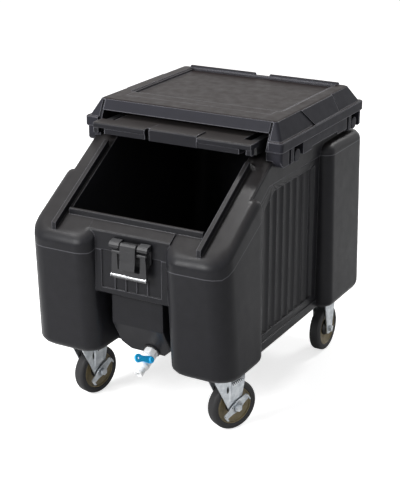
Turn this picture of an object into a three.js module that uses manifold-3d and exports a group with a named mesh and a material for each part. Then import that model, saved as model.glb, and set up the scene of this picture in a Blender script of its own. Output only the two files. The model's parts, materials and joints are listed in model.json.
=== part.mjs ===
// A mobile ice bin: a moulded body on four casters, a fixed top cover, a lid that slides out from under
// the cover and tilts down over the sloping mouth, a draw latch for the lid and a drain valve.
// Millimetres. X runs across, Y from front to rear, Z up. The origin is on the floor under the middle.
import * as THREE from "three";
import { mergeVertices } from "three/addons/utils/BufferGeometryUtils.js";
import Module from "manifold-3d";

const wasm = await Module();
wasm.setup();

// Clearances that all fits share
const fitGap = 0.3;
const cutOver = 6;
const arcSteps = 4;
const lugSides = 14;
const roundSides = 20;
const smallSides = 12;
const smallRodRadius = 8.5;
const tyreSides = 28;
const ballSides = 12;

// Casters
const wheelRadius = 63.5;
const tyreHalfWidth = 15;
const tyreShoulder = 7;
const coreRadius = 43;
const coreHalfWidth = 13;
const coreWebHalfWidth = 5;
const coreRimDepth = 6;
const hubRadius = 14;
const hubHalfWidth = 17;
const axleRadius = 5;
const axleHead = 8;
const axleHeadThickness = 3;
const forkThickness = 3;
const forkLegWidth = 78;
const forkFootRadius = 10;
const forkCreaseWidth = 9;
const forkCreaseDepth = 2.5;
const forkCrownHeight = 10;
const forkCrownReach = 40;
const forkTrail = 22;
const rigidLegWidth = 26;
const rigidCrownReach = 30;
const raceRadius = 27;
const raceHeight = 12;
const casterPlateThickness = 3;
const casterPlateLength = 96;
const casterPlateWidth = 74;
const casterPlateCorner = 8;
const casterHeight = 175.7;
const nutFlats = 16;
const nutThickness = 7;
const brakeThickness = 3;
const brakeHalfLength = 33;
const brakeWidth = 17;
const brakeHubRadius = 12;
const brakeTipDrop = 8;
const brakeTilt = 32;
const frontSwivelX = 197;
const frontSwivelY = -245.5;
const frontYawRight = -28;
const frontYawLeft = -13;
const rearWheelX = 213.5;
const rearWheelY = 306.75;

// Body shell
const bodyBottom = casterHeight + fitGap;
const bodyTop = 668;
const coreSide = 249;
const coreEdge = 6;
const coreFront = -245;
const coreRear = 350;
const coreRearCorner = 12;
const rampAngle = 31.5;
const rampFootY = -373;
const rampFootZ = 493;
const rampRise = Math.tan(THREE.MathUtils.degToRad(rampAngle));
const frontColumnFront = -391;
const frontColumnLean = 24;
const frontColumnRear = -197;
const frontColumnSwell = 10;
const frontGapHalf = 98;
const frontCentre = 6;
const frontColumnOuter = 278;
const columnDraft = 9;
const columnDraftHeight = 340;
const columnCorner = 50;
const columnInnerCorner = 40;
const columnBackCorner = 16;
const columnFootRadius = 22;
const shoulderRadius = 20;
const shoulderEndRadius = 20;
const rearColumnFront = 168;
const rearColumnRear = 391;
const rearColumnInner = 125;
const rearColumnOuter = 288;
const rearColumnTop = 628;
const rearColumnCorner = 40;
const rearColumnFrontCorner = 28;
const pillowRadius = 26;
const panelFace = -356;
const panelBottom = 346;
const panelEdge = 9;
const panelHalfWidth = 112;
const panelStepDepth = 3;
const panelStepBottom = 362;
const panelStepTop = 458;
const panelStepHalfWidth = 82;
const panelRibWidth = 3;
const panelRibPitch = 30;
const panelRibTop = 400;
const noseHalfWidth = 72;
const noseFace = -334;
const noseBellyTop = 264;
const bellyAngle = 30;
const noseEdge = 12;
const noseLowerCorner = 28;
const lidHalfWidth = 180;
const trackClearance = 14;
const trackInner = lidHalfWidth + trackClearance;
const trackWall = 4;
const wellMargin = 5;
const wellHalfWidth = trackInner - trackWall - wellMargin;
const wellFloor = 236;
const wellFloorRadius = 24;
const wellCorner = 34;
const wellFront = -210;
const wellRear = 308;
const mouthFront = -319;
const mouthShelfRear = 380;
const mouthShelfFront = 400;
const mouthShelfY = -294;
const troughHalfWidth = 38;
const troughFloor = 216;
const troughFront = -284;
const rimHeight = 24;
const rimThickness = 10;
const rimHalfWidth = 183;
const rimEdge = 3;
const railInner = 192;
const railWidth = 11;
const railHeight = 18;
const railTipY = -375;
const railEndY = -135;
const railRoot = 12;
const sidePanelBottom = 202;
const sidePanelTop = 598;
const sidePanelFrontTopY = -102;
const sidePanelDepth = 2.5;
const fluteCount = 8;
const fluteFirstY = -150;
const flutePitch = 37;
const fluteDepth = 5;
const fluteInset = 20;

// Drain shelf
const shelfThickness = 4;
const shelfFoot = 10;
const shelfMargin = 7.5;
const shelfCorner = 30;
const shelfRibHalfGap = 76;
const shelfRibWidth = 6;
const shelfSlotLength = 58;
const shelfSlotWidth = 7;
const shelfColumns = 4;
const shelfRows = 5;
const shelfPitchX = 76;
const shelfPitchY = 87;

// Top cover
const coverLipSide = 275.6;
const coverLipFront = -114;
const coverLipRear = 378;
const coverLipBottom = 677;
const coverLipTop = 703;
const coverSkirtSide = 272;
const coverSkirtBottom = 637;
const coverSkirtEdge = 3;
const coverLipCorner = 8;
const coverStep = 8;
const coverRise = 43;
const coverTop = coverLipTop + coverRise;
const coverTopSide = 246.5;
const coverTopFront = -85;
const coverTopRear = 341;
const coverTopEdge = 2;
const coverWall = 7;
const coverRoof = 6;
const coverShoulderWidth = 9;
const postInner = 232;
const frontPanelSlotTop = 719;
const frontPanelSlope = 15;
const trayHalfWidth = 209;
const trayFront = 14;
const trayRear = 324;
const trayDepth = 6;
const trayCorner = 8;
const trayBorder = 7;
const trayBorderDepth = 2;
const beadFront = 329;
const beadWidth = 11;
const beadHeight = 6;
const beadHalfLength = 222;
const beadGapHalf = 21;
const bevelPadRear = 231;
const bevelPadThickness = 3;
const bevelGrooveWidth = 7;
const notchFrontY = -14;
const notchRearY = 334;
const notchHalfWidth = 27;
const slitOffset = 48;
const slitHalfWidth = 6;
const slitDepth = 9;
const skirtHigh = 653;
const skirtMiddle = 646;
const skirtBlockWidth = 50;
const skirtRearBlockWidth = 67;
const skirtRearHalf = 205;
const skirtFootRadius = 24;
const postGrooveWidth = 6;
const postGrooveDepth = 4;
const bevelStepLow = 82;
const bevelStepTop = 43;
const lugHalfWidth = 16;
const lugHalfHeight = 16;
const lugHeadStart = 261;
const lugHeadEnd = 270;
const lugStem = 8;
const lugBevel = 2.5;
const lugZ = 650;

// Lid, its shaft and its tracks
const lidTop = 704.5;
const lidBottom = 676.5;
const lidEdge = 3;
const nosingFront = -165;
const nosingDepth = 42;
const nosingHalfWidth = 219;
const nosingBottom = 690.5;
const nosingRound = 5;
const flangeHalfWidth = 187;
const flangeSetback = 2.5;
const hookWidth = 14;
const hookDrop = 14;
const hookDepth = 18;
const strikeLeft = -57;
const strikeRight = 75;
const strikeNotch = 13;
const strikeDepth = 15;
const strikePadDepth = 30;
const strikePadThickness = 3;
const lidAxisY = 164;
const lidAxisZ = 688;
const lidTail = 14;
const lidTravel = 267;
const shaftRadius = 5;
const glideWidth = 14;
const glideLength = 26;
const glideHeight = 16;
const shaftReach = trackInner + glideWidth;

// Latch
const latchX = 12;
const latchPivotY = -371;
const latchPivotZ = 482;
const bailPinDrop = 16;
const latchPinRadius = 3;
const latchBaseHalfWidth = 52;
const latchBaseThickness = 4;
const latchBaseHeight = 46;
const latchEarWidth = 27;
const latchEarHeight = 11;
const latchEarReach = 22.7;
const latchLeverHalfWidth = 21;
const latchLeverLength = 51;
const latchLeverThickness = 5;
const latchKnuckleRadius = 9;
const bailKnuckleRadius = 5.5;
const bailOuter = 46;
const bailArmWidth = 13;
const bailThickness = 4;
const bailLength = 58;
const bailHem = 12;
const bailBarRadius = 4;
const bailBarHead = 6;
const bailBarOverhang = 2;

// Drain valve, laid out along its own axis from the belly outwards
const valveX = 22;
const valveZ = 191;
const drainBore = 9.5;
const gasketRadius = 21;
const gasketThickness = 3;
const nutRadius = 18;
const nutLength = 17;
const tailRadius = 9;
const tailLength = 34;
const flowRadius = 5.5;
const valveRadius = 15;
const valveLength = 25;
const ballRadius = 9;
const ballPlay = 0.8;
const stemRadius = 3;
const stemHead = 5;
const spoutLength = 30;
const spoutRadius = 15;
const spoutTipRadius = 9.5;
const spoutBarb = 1.5;
const leverLength = 38;
const leverLean = 32;
const stemTurn = 60;
const leverThickness = 4;
const leverWidth = 13;
const leverRingRadius = 9;
const leverRingBore = 4;
const leverStandoff = 2;

const blackPlastic = new THREE.MeshStandardMaterial({ color: 0x2e2e31, roughness: 0.5, metalness: 0 });
const darkLatch = new THREE.MeshStandardMaterial({ color: 0x252528, roughness: 0.4, metalness: 0 });
const zincSteel = new THREE.MeshStandardMaterial({ color: 0xc9ccd0, roughness: 0.3, metalness: 1 });
const brightSteel = new THREE.MeshStandardMaterial({ color: 0xe0e0e2, roughness: 0.15, metalness: 1 });
const tyreRubber = new THREE.MeshStandardMaterial({ color: 0x3a3a3c, roughness: 0.6, metalness: 0 });
const oliveCore = new THREE.MeshStandardMaterial({ color: 0x6e6446, roughness: 0.5, metalness: 0 });
const whiteNylon = new THREE.MeshStandardMaterial({ color: 0xe6e9eb, roughness: 0.45, metalness: 0 });
const blueNylon = new THREE.MeshStandardMaterial({ color: 0x0a90ea, roughness: 0.4, metalness: 0 });
const gasketRubber = new THREE.MeshStandardMaterial({ color: 0x18181a, roughness: 0.8, metalness: 0 });

// Height of the sloping mouth's plane at a place along Y.
function rampHeight(y) {
  return rampFootZ + rampRise * (y - rampFootY);
}

// A closed geometry as a solid that can be cut and joined, with its faces turned outwards.
function solid(geometry) {
  const flat = geometry.index ? geometry.toNonIndexed() : geometry;
  const bare = new THREE.BufferGeometry();
  bare.setAttribute("position", flat.getAttribute("position"));
  const merged = mergeVertices(bare);
  const triangles = [];
  for (let i = 0; i < merged.index.count; i += 3) {
    const [a, b, c] = [0, 1, 2].map((k) => merged.index.getX(i + k));
    if (a !== b && b !== c && c !== a) triangles.push(a, b, c);
  }
  const build = (order) =>
    new wasm.Manifold(
      new wasm.Mesh({
        numProp: 3,
        vertProperties: merged.attributes.position.array,
        triVerts: new Uint32Array(order),
      }),
    );
  const made = build(triangles);
  return made.volume() < 0 ? build(triangles.reverse()) : made;
}

// A solid's faces as a geometry for a mesh.
function geometryOf(shape) {
  const mesh = shape.getMesh();
  const geometry = new THREE.BufferGeometry();
  geometry.setAttribute("position", new THREE.BufferAttribute(mesh.vertProperties, 3));
  geometry.setIndex(new THREE.BufferAttribute(mesh.triVerts, 1));
  const faceted = geometry.toNonIndexed();
  faceted.computeVertexNormals();
  return faceted;
}

function joined(...shapes) {
  return shapes.reduce((sum, shape) => sum.add(shape));
}

function without(shape, ...cuts) {
  return cuts.reduce((rest, cut) => rest.subtract(cut), shape);
}

// Points of a closed outline whose corners, given as [a, b, radius], are rounded by arcs.
function outline(corners, steps = arcSteps) {
  const points = [];
  corners.forEach(([a, b, radius], i) => {
    const corner = new THREE.Vector2(a, b);
    if (!radius) {
      points.push(corner);
      return;
    }
    const before = corners[(i + corners.length - 1) % corners.length];
    const after = corners[(i + 1) % corners.length];
    const toBefore = new THREE.Vector2(before[0] - a, before[1] - b).normalize();
    const toAfter = new THREE.Vector2(after[0] - a, after[1] - b).normalize();
    const half = Math.acos(toBefore.dot(toAfter)) / 2;
    const start = corner.clone().addScaledVector(toBefore, radius / Math.tan(half));
    const end = corner.clone().addScaledVector(toAfter, radius / Math.tan(half));
    const inward = toBefore.clone().add(toAfter).normalize();
    const centre = corner.clone().addScaledVector(inward, radius / Math.sin(half));
    const from = start.clone().sub(centre).angle();
    const turn = end.clone().sub(centre).angle() - from;
    const sweep = Math.atan2(Math.sin(turn), Math.cos(turn));
    for (let k = 0; k <= steps; k++) {
      const angle = from + (sweep * k) / steps;
      points.push(new THREE.Vector2(Math.cos(angle), Math.sin(angle)).multiplyScalar(radius).add(centre));
    }
  });
  return points;
}

function rectangle(a0, a1, b0, b1, radius = 0) {
  return outline([
    [a0, b0, radius],
    [a1, b0, radius],
    [a1, b1, radius],
    [a0, b1, radius],
  ]);
}

// Extrudes an outline along one axis, from low to high, with its ends rounded by an optional bevel.
function prism(axis, points, low, high, bevel = 0) {
  const geometry = new THREE.ExtrudeGeometry(new THREE.Shape(points), {
    depth: high - low - 2 * bevel,
    bevelEnabled: bevel > 0,
    bevelThickness: bevel,
    bevelSize: bevel,
    bevelOffset: -bevel,
    bevelSegments: 2,
    curveSegments: 1,
  });
  geometry.translate(0, 0, bevel);
  const [x, y, z] = [new THREE.Vector3(1, 0, 0), new THREE.Vector3(0, 1, 0), new THREE.Vector3(0, 0, 1)];
  const turn = new THREE.Matrix4();
  if (axis === "x") turn.makeBasis(y, z, x).setPosition(low, 0, 0);
  if (axis === "y") turn.makeBasis(x, z, y.clone().negate()).setPosition(0, high, 0);
  if (axis === "z") turn.makeBasis(x, y, z).setPosition(0, 0, low);
  geometry.applyMatrix4(turn);
  return solid(geometry);
}

function block(x0, x1, y0, y1, z0, z1) {
  return prism("z", rectangle(x0, x1, y0, y1), z0, z1);
}

// Turns a profile of [radius, height] points round the Z axis.
function turned(profile, sides = roundSides) {
  const points = profile.map(([radius, height]) => new THREE.Vector2(radius, height));
  return solid(new THREE.LatheGeometry(points, sides).rotateX(Math.PI / 2));
}

// A round bar along one axis between two places, on a centre given by the other two coordinates.
function rod(axis, radius, low, high, [a, b], count = 0) {
  const sides = count || (radius < smallRodRadius ? smallSides : roundSides);
  const circle = outline(
    [
      [a - radius, b - radius, radius],
      [a + radius, b - radius, radius],
      [a + radius, b + radius, radius],
      [a - radius, b + radius, radius],
    ],
    sides / 4,
  );
  return prism(axis, circle, low, high);
}

// A solid moved by a matrix.
function moved(shape, matrix) {
  return solid(geometryOf(shape).applyMatrix4(matrix));
}

function mirroredX(shape) {
  return moved(shape, new THREE.Matrix4().makeScale(-1, 1, 1));
}

// One ring of a loft: a rectangle with rounded corners, as a left and a right chain from front to rear.
// Its height may change along Y, and side shares add points along its straight sides.
function ring({ left, right, front, rear, frontRadii, rearRadius, heightAt, sideShares = [] }) {
  const chain = (side, inward, frontRadius) => {
    const points = [];
    for (let k = 0; k <= arcSteps; k++) {
      const angle = (Math.PI / 2) * (k / arcSteps);
      const x = side + inward * frontRadius * (1 - Math.sin(angle));
      points.push([x, front + frontRadius * (1 - Math.cos(angle))]);
    }
    for (const share of sideShares) {
      points.push([side, THREE.MathUtils.lerp(front + frontRadius, rear - rearRadius, share)]);
    }
    for (let k = 0; k <= arcSteps; k++) {
      const angle = (Math.PI / 2) * (k / arcSteps);
      const x = side + inward * rearRadius * (1 - Math.cos(angle));
      points.push([x, rear - rearRadius * (1 - Math.sin(angle))]);
    }
    return points.map(([x, y]) => new THREE.Vector3(x, y, heightAt(y)));
  };
  return { left: chain(left, 1, frontRadii[0]), right: chain(right, -1, frontRadii[1]) };
}

// A closed skin over rings, lowest first, capped by strips between each end ring's two chains.
function loft(rings) {
  const positions = [];
  const face = (...corners) => corners.forEach((corner) => positions.push(corner.x, corner.y, corner.z));
  const quad = (a, b, c, d) => {
    face(a, b, c);
    face(a, c, d);
  };
  const loops = rings.map(({ left, right }) => [...right, ...left.slice().reverse()]);
  for (let k = 0; k + 1 < loops.length; k++) {
    const [low, high] = [loops[k], loops[k + 1]];
    low.forEach((corner, i) => {
      const next = (i + 1) % low.length;
      quad(corner, low[next], high[next], high[i]);
    });
  }
  const first = rings[0];
  const last = rings[rings.length - 1];
  for (let i = 0; i + 1 < first.left.length; i++) {
    quad(first.left[i], first.left[i + 1], first.right[i + 1], first.right[i]);
    quad(last.left[i], last.right[i], last.right[i + 1], last.left[i + 1]);
  }
  const geometry = new THREE.BufferGeometry();
  geometry.setAttribute("position", new THREE.Float32BufferAttribute(positions, 3));
  return solid(geometry);
}

// Insets and heights of the rings that round an edge of a given radius, for angles from 0 to 90 degrees.
function roundedSteps(radius, steps = arcSteps) {
  return Array.from({ length: steps + 1 }, (_, k) => {
    const angle = (Math.PI / 2) * (k / steps);
    return { along: radius * (1 - Math.cos(angle)), across: radius * (1 - Math.sin(angle)) };
  });
}

// One corner column on the right side: drafted sides, a rounded foot and a top that follows topAt(y).
function column(shape) {
  const { inner, outer, front, lean, rear, swell, frontRadii, rearRadius, topRadius, topAt, sideShares } = shape;
  const ringAt = (inset, heightAt) => {
    const level = THREE.MathUtils.clamp((heightAt(rear) - bodyBottom) / columnDraftHeight, 0, 1);
    return ring({
      left: inner + inset,
      right: outer - columnDraft * level - inset,
      front: front + lean * (1 - level) + inset,
      rear: rear + swell * level - inset,
      frontRadii,
      rearRadius,
      heightAt,
      sideShares,
    });
  };
  const foot = roundedSteps(columnFootRadius).map(({ along, across }) =>
    ringAt(across, () => bodyBottom + along),
  );
  const top = roundedSteps(topRadius).map(({ along, across }) => ringAt(along, (y) => topAt(y) - across));
  return loft([...foot, ...top]);
}

// Height of a front column's top: the mouth's plane, rounded off where the column ends.
function frontColumnTop(y) {
  const end = frontColumnRear + frontColumnSwell;
  const reach = shoulderEndRadius * Math.tan(THREE.MathUtils.degToRad(90 + rampAngle) / 2);
  const start = end - reach * Math.cos(THREE.MathUtils.degToRad(rampAngle));
  if (y <= start) return rampHeight(y);
  const across = Math.min(y - end + shoulderEndRadius, shoulderEndRadius);
  const drop = Math.sqrt(Math.max(shoulderEndRadius ** 2 - across ** 2, 0));
  return rampHeight(end) - reach + drop;
}

// A front column, built on the right. The left one is built mirrored, so its inner side is shifted back.
function frontColumn(side) {
  return column({
    inner: frontGapHalf + side * frontCentre,
    outer: frontColumnOuter,
    front: frontColumnFront,
    lean: frontColumnLean,
    rear: frontColumnRear,
    swell: frontColumnSwell,
    frontRadii: [columnInnerCorner, columnCorner],
    rearRadius: columnBackCorner,
    topRadius: shoulderRadius,
    topAt: frontColumnTop,
    sideShares: [0.5, 0.75, 0.84, 0.92],
  });
}

function rearColumn() {
  const shape = column({
    inner: rearColumnInner,
    outer: rearColumnOuter,
    front: -rearColumnRear,
    lean: 0,
    rear: -rearColumnFront,
    swell: 0,
    frontRadii: [columnBackCorner, rearColumnCorner],
    rearRadius: rearColumnFrontCorner,
    topRadius: pillowRadius,
    topAt: () => rearColumnTop,
    sideShares: [],
  });
  return moved(shape, new THREE.Matrix4().makeScale(1, -1, 1));
}

// The body between the columns: the side profile with the mouth's slope, extruded across.
function coreBlock() {
  const profile = outline([
    [coreFront, bodyBottom, 0],
    [coreRear, bodyBottom, coreRearCorner],
    [coreRear, bodyTop, coreRearCorner],
    [rampFootY + (bodyTop - rampFootZ) / rampRise, bodyTop, 0],
    [coreFront, rampHeight(coreFront), 0],
  ]);
  return prism("x", profile, -coreSide, coreSide, coreEdge);
}

// The wall behind the latch, from its lower edge up to the deck in front of the mouth.
function latchWall() {
  const profile = outline([
    [coreFront + cutOver, panelBottom, 0],
    [panelFace, panelBottom, coreEdge],
    [panelFace, rampHeight(panelFace), panelEdge],
    [coreFront + cutOver, rampHeight(coreFront + cutOver), 0],
  ]);
  const wall = prism("x", profile, -panelHalfWidth, panelHalfWidth);
  const step = block(
    frontCentre - panelStepHalfWidth,
    frontCentre + panelStepHalfWidth,
    panelFace - cutOver,
    panelFace + panelStepDepth,
    panelStepBottom,
    panelStepTop,
  );
  const ribs = [-1.5, -0.5, 0.5, 1.5].map((place) => {
    const x = frontCentre + place * panelRibPitch;
    return block(
      x - panelRibWidth / 2,
      x + panelRibWidth / 2,
      panelFace,
      panelFace + panelStepDepth + fitGap,
      panelStepBottom - fitGap,
      panelRibTop,
    );
  });
  return joined(without(wall, step), ...ribs);
}

// Reach of the belly from its top edge back to the underside.
const bellyReach = (noseBellyTop - bodyBottom) * Math.tan(THREE.MathUtils.degToRad(bellyAngle));

// The narrower nose of the tub between the front columns, whose sloping belly carries the drain.
function nose() {
  const [left, right] = [frontCentre - noseHalfWidth, frontCentre + noseHalfWidth];
  const profile = outline([
    [coreFront + cutOver, bodyBottom, 0],
    [noseFace + bellyReach, bodyBottom, noseEdge],
    [noseFace, noseBellyTop, noseEdge],
    [noseFace, panelBottom + cutOver, 0],
    [coreFront + cutOver, panelBottom + cutOver, 0],
  ]);
  const front = outline([
    [left, panelBottom + cutOver, 0],
    [left, bodyBottom + noseLowerCorner, noseEdge],
    [left + noseLowerCorner, bodyBottom, noseEdge],
    [right - noseLowerCorner, bodyBottom, noseEdge],
    [right, bodyBottom + noseLowerCorner, noseEdge],
    [right, panelBottom + cutOver, 0],
  ]);
  const across = prism("x", profile, left, right, coreEdge);
  const along = prism("y", front, noseFace - cutOver, coreFront + 2 * cutOver);
  return across.intersect(along);
}

// The hollow for the ice: the deep well, the shelf under the mouth and the trough that leads to the drain.
function wellCavity() {
  const wellRing = (inset, z) =>
    ring({
      left: -wellHalfWidth + inset,
      right: wellHalfWidth - inset,
      front: wellFront + inset,
      rear: wellRear - inset,
      frontRadii: [wellCorner, wellCorner],
      rearRadius: wellCorner,
      heightAt: () => z,
    });
  const floor = roundedSteps(wellFloorRadius).map(({ along, across }) => wellRing(across, wellFloor + along));
  const well = loft([...floor, wellRing(0, bodyTop + cutOver)]);
  const mouthProfile = outline([
    [wellFront + wellCorner, mouthShelfRear, 0],
    [wellFront + wellCorner, bodyTop + cutOver, 0],
    [mouthFront, bodyTop + cutOver, 0],
    [mouthFront, mouthShelfFront + wellCorner, wellFloorRadius],
    [mouthShelfY, mouthShelfFront, wellFloorRadius],
    [wellFront, mouthShelfRear, 0],
  ]);
  const mouth = prism("x", mouthProfile, -wellHalfWidth, wellHalfWidth);
  const troughProfile = outline([
    [wellFront + wellCorner, troughFloor, 0],
    [wellFront + wellCorner, mouthShelfRear + fitGap, 0],
    [wellFront, mouthShelfRear + fitGap, 0],
    [troughFront, noseBellyTop, noseEdge],
    [troughFront, troughFloor, noseEdge],
  ]);
  const trough = prism("x", troughProfile, -troughHalfWidth, troughHalfWidth);
  return joined(well, mouth, trough);
}

function mouthRim() {
  const base = rampHeight(mouthFront) - rimHeight;
  const top = rampHeight(mouthFront - rimThickness) + rimHeight / 2 + rimEdge;
  const profile = outline([
    [mouthFront - rimThickness, base, 0],
    [mouthFront, base, 0],
    [mouthFront, top, rimEdge],
    [mouthFront - rimThickness, top, rimEdge],
  ]);
  return prism("x", profile, -rimHalfWidth, rimHalfWidth);
}

// The rib that guides the lid on the right side of the mouth.
function rail() {
  const profile = outline([
    [railTipY, rampHeight(railTipY) - railRoot, 0],
    [railEndY, rampHeight(railEndY) - railRoot, 0],
    [railEndY, rampHeight(railEndY) + railHeight, rimEdge],
    [railTipY, rampHeight(railTipY) + railHeight, rimEdge],
  ]);
  return prism("x", profile, railInner, railInner + railWidth);
}

// The shallow recess in the right side with its row of upright flutes.
function sideRecess() {
  const border = (inset) => [
    [frontColumnRear - cutOver, sidePanelBottom + inset, 0],
    [rearColumnFront + cutOver, sidePanelBottom + inset, 0],
    [rearColumnFront + cutOver, sidePanelTop - inset, 0],
    [sidePanelFrontTopY + inset * rampRise, sidePanelTop - inset, 0],
    [
      frontColumnRear - cutOver,
      sidePanelTop - inset - rampRise * (sidePanelFrontTopY + inset * rampRise - frontColumnRear + cutOver),
      0,
    ],
  ];
  const panel = prism("x", outline(border(0)), coreSide - sidePanelDepth, coreSide + cutOver);
  const bounds = prism("x", outline(border(fluteInset)), coreSide - flutePitch, coreSide + cutOver);
  const half = flutePitch / 2;
  const radius = (half ** 2 + fluteDepth ** 2) / (2 * fluteDepth);
  const flutes = Array.from({ length: fluteCount }, (_, i) => {
    const y = fluteFirstY + flutePitch * (i + 0.5);
    const x = coreSide - sidePanelDepth - fluteDepth + radius;
    return rod("z", radius, bodyBottom, bodyTop, [x, y], roundSides + smallSides);
  });
  return joined(panel, joined(...flutes).intersect(bounds));
}

// Place and direction of the drain: it leaves the belly at a right angle.
const valveY = noseFace + (noseBellyTop - valveZ) * Math.tan(THREE.MathUtils.degToRad(bellyAngle));
const valveTurn = THREE.MathUtils.degToRad(90 + bellyAngle);
const valvePlace = new THREE.Matrix4().makeRotationX(valveTurn).setPosition(valveX, valveY, valveZ);

function drainHole() {
  const hole = turned([
    [0, -tailLength - 2 * cutOver],
    [drainBore, -tailLength - 2 * cutOver],
    [drainBore, cutOver],
    [0, cutOver],
  ]);
  return moved(hole, valvePlace);
}

function bodyShell() {
  const frontRight = frontColumn(1);
  const frontLeft = mirroredX(frontColumn(-1));
  const rearRight = rearColumn();
  const railRight = rail();
  const recessRight = sideRecess();
  const columns = joined(frontRight, frontLeft, rearRight, mirroredX(rearRight));
  const core = without(coreBlock(), recessRight, mirroredX(recessRight));
  const outside = joined(core, latchWall(), nose(), columns);
  return joined(without(outside, wellCavity(), drainHole()), mouthRim(), railRight, mirroredX(railRight));
}

function drainShelf() {
  const [x, front, rear] = [wellHalfWidth - shelfMargin, wellFront + shelfMargin, wellRear - shelfMargin];
  const floor = wellFloor + fitGap;
  const plateLow = floor + shelfFoot;
  const plate = prism("z", rectangle(-x, x, front, rear, shelfCorner), plateLow, plateLow + shelfThickness);
  const middle = (front + rear) / 2;
  const slots = [];
  for (let column = 0; column < shelfColumns; column++) {
    for (let row = 0; row < shelfRows; row++) {
      const cx = (column - (shelfColumns - 1) / 2) * shelfPitchX;
      const cy = middle + (row - (shelfRows - 1) / 2) * shelfPitchY;
      slots.push(
        block(
          cx - shelfSlotLength / 2,
          cx + shelfSlotLength / 2,
          cy - shelfSlotWidth / 2,
          cy + shelfSlotWidth / 2,
          floor,
          floor + shelfFoot + shelfThickness + cutOver,
        ),
      );
    }
  }
  const rib = (side) =>
    block(
      side * shelfRibHalfGap - shelfRibWidth / 2,
      side * shelfRibHalfGap + shelfRibWidth / 2,
      front + shelfCorner,
      rear - shelfCorner,
      floor,
      floor + shelfFoot + fitGap,
    );
  return joined(without(plate, ...slots), rib(-1), rib(1));
}

// Half-width, front and rear of the cover's outside at the foot and at the head of its bevel.
const bevelFoot = {
  side: coverLipSide - coverStep,
  front: coverLipFront + coverStep,
  rear: coverLipRear - coverStep,
};

function coverRing(side, front, rear, z, corner = coverLipCorner) {
  return ring({
    left: -side,
    right: side,
    front,
    rear,
    frontRadii: [corner, corner],
    rearRadius: corner,
    heightAt: () => z,
  });
}

function coverOutside() {
  const skirtInset = coverLipSide - coverSkirtSide;
  const [skirtFront, skirtRear] = [coverLipFront + skirtInset, coverLipRear - skirtInset];
  return loft([
    coverRing(
      coverSkirtSide - coverSkirtEdge,
      skirtFront + coverSkirtEdge,
      skirtRear - coverSkirtEdge,
      coverSkirtBottom,
    ),
    coverRing(coverSkirtSide, skirtFront, skirtRear, coverSkirtBottom + coverSkirtEdge),
    coverRing(coverSkirtSide, skirtFront, skirtRear, coverLipBottom),
    coverRing(coverLipSide - coverTopEdge, coverLipFront + coverTopEdge, coverLipRear - coverTopEdge, coverLipBottom),
    coverRing(coverLipSide, coverLipFront, coverLipRear, coverLipBottom + coverTopEdge),
    coverRing(coverLipSide, coverLipFront, coverLipRear, coverLipTop - coverTopEdge),
    coverRing(coverLipSide - coverTopEdge, coverLipFront + coverTopEdge, coverLipRear - coverTopEdge, coverLipTop),
    coverRing(bevelFoot.side, bevelFoot.front, bevelFoot.rear, coverLipTop),
    coverRing(coverTopSide, coverTopFront, coverTopRear, coverTop - coverTopEdge),
    coverRing(
      coverTopSide - 2 * coverTopEdge,
      coverTopFront + 2 * coverTopEdge,
      coverTopRear - 2 * coverTopEdge,
      coverTop,
    ),
  ]);
}

// The cover's hollow: the body's upper rim fills its lower part, and the lid slides in its upper part.
function coverInside() {
  const [rimFront, rimRear, rimLow] = [coverLipFront - cutOver, coreRear + fitGap, coverSkirtBottom - cutOver];
  const rimTop = bodyTop + fitGap;
  const rampTopY = rampFootY + (rimTop - 2 * fitGap - rampFootZ) / rampRise;
  const rim = prism(
    "x",
    outline([
      [rimFront, rimLow, 0],
      [rimRear, rimLow, 0],
      [rimRear, rimTop, 0],
      [rampTopY, rimTop, 0],
      [rimFront, rampHeight(rimFront) + 2 * fitGap, 0],
    ]),
    -coreSide - fitGap,
    coreSide + fitGap,
  );
  const side = coreSide - coverShoulderWidth;
  const roof = coverTop - trayDepth - coverRoof;
  const share = (roof - coverLipTop) / (coverTop - coverLipTop);
  const roofSide = THREE.MathUtils.lerp(bevelFoot.side, coverTopSide, share) - coverWall;
  const roofFront = THREE.MathUtils.lerp(bevelFoot.front, coverTopFront, share) + coverWall;
  const roofRear = THREE.MathUtils.lerp(bevelFoot.rear, coverTopRear, share) - coverWall;
  const front = bevelFoot.front + coverWall;
  const rear = coreRear - coverShoulderWidth;
  const room = loft([
    coverRing(side, front, rear, bodyTop),
    coverRing(side, front, rear, coverLipTop),
    coverRing(Math.min(side, roofSide), roofFront, Math.min(rear, roofRear), roof),
  ]);
  const mouth = prism(
    "x",
    outline([
      [coverLipFront - cutOver, coverSkirtBottom - cutOver, 0],
      [roofFront + cutOver, coverSkirtBottom - cutOver, 0],
      [roofFront + cutOver, frontPanelSlotTop, 0],
      [coverTopFront - frontPanelSlope, frontPanelSlotTop, 0],
      [coverTopFront + coverTopEdge, coverTop + cutOver, 0],
      [coverLipFront - cutOver, coverTop + cutOver, 0],
    ]),
    -postInner,
    postInner,
  );
  return joined(rim, room, mouth);
}

// A slab that follows the cover's right bevel between two places along Y, from one depth to another.
function bevelSlab(y0, y1, depthIn, depthOut) {
  const profile = [
    [bevelFoot.side - depthIn, coverLipTop],
    [bevelFoot.side + depthOut, coverLipTop],
    [coverTopSide + depthOut, coverTop - coverTopEdge],
    [coverTopSide - depthIn, coverTop - coverTopEdge],
  ];
  return prism("y", profile.map(([x, z]) => new THREE.Vector2(x, z)), y0, y1);
}

// The notch and the slit in the cover's skirt beside one of its lugs, on the right side.
function skirtNotch(y, away) {
  const [inside, outside] = [coreSide - cutOver, coverLipSide + cutOver];
  const low = coverSkirtBottom - cutOver;
  const notch = block(inside, outside, y - notchHalfWidth, y + notchHalfWidth, low, coverLipBottom);
  const slitY = y + away * slitOffset;
  const slit = block(
    coverSkirtSide - slitDepth,
    outside,
    slitY - slitHalfWidth,
    slitY + slitHalfWidth,
    low,
    coverLipBottom,
  );
  return joined(notch, slit);
}

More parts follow.
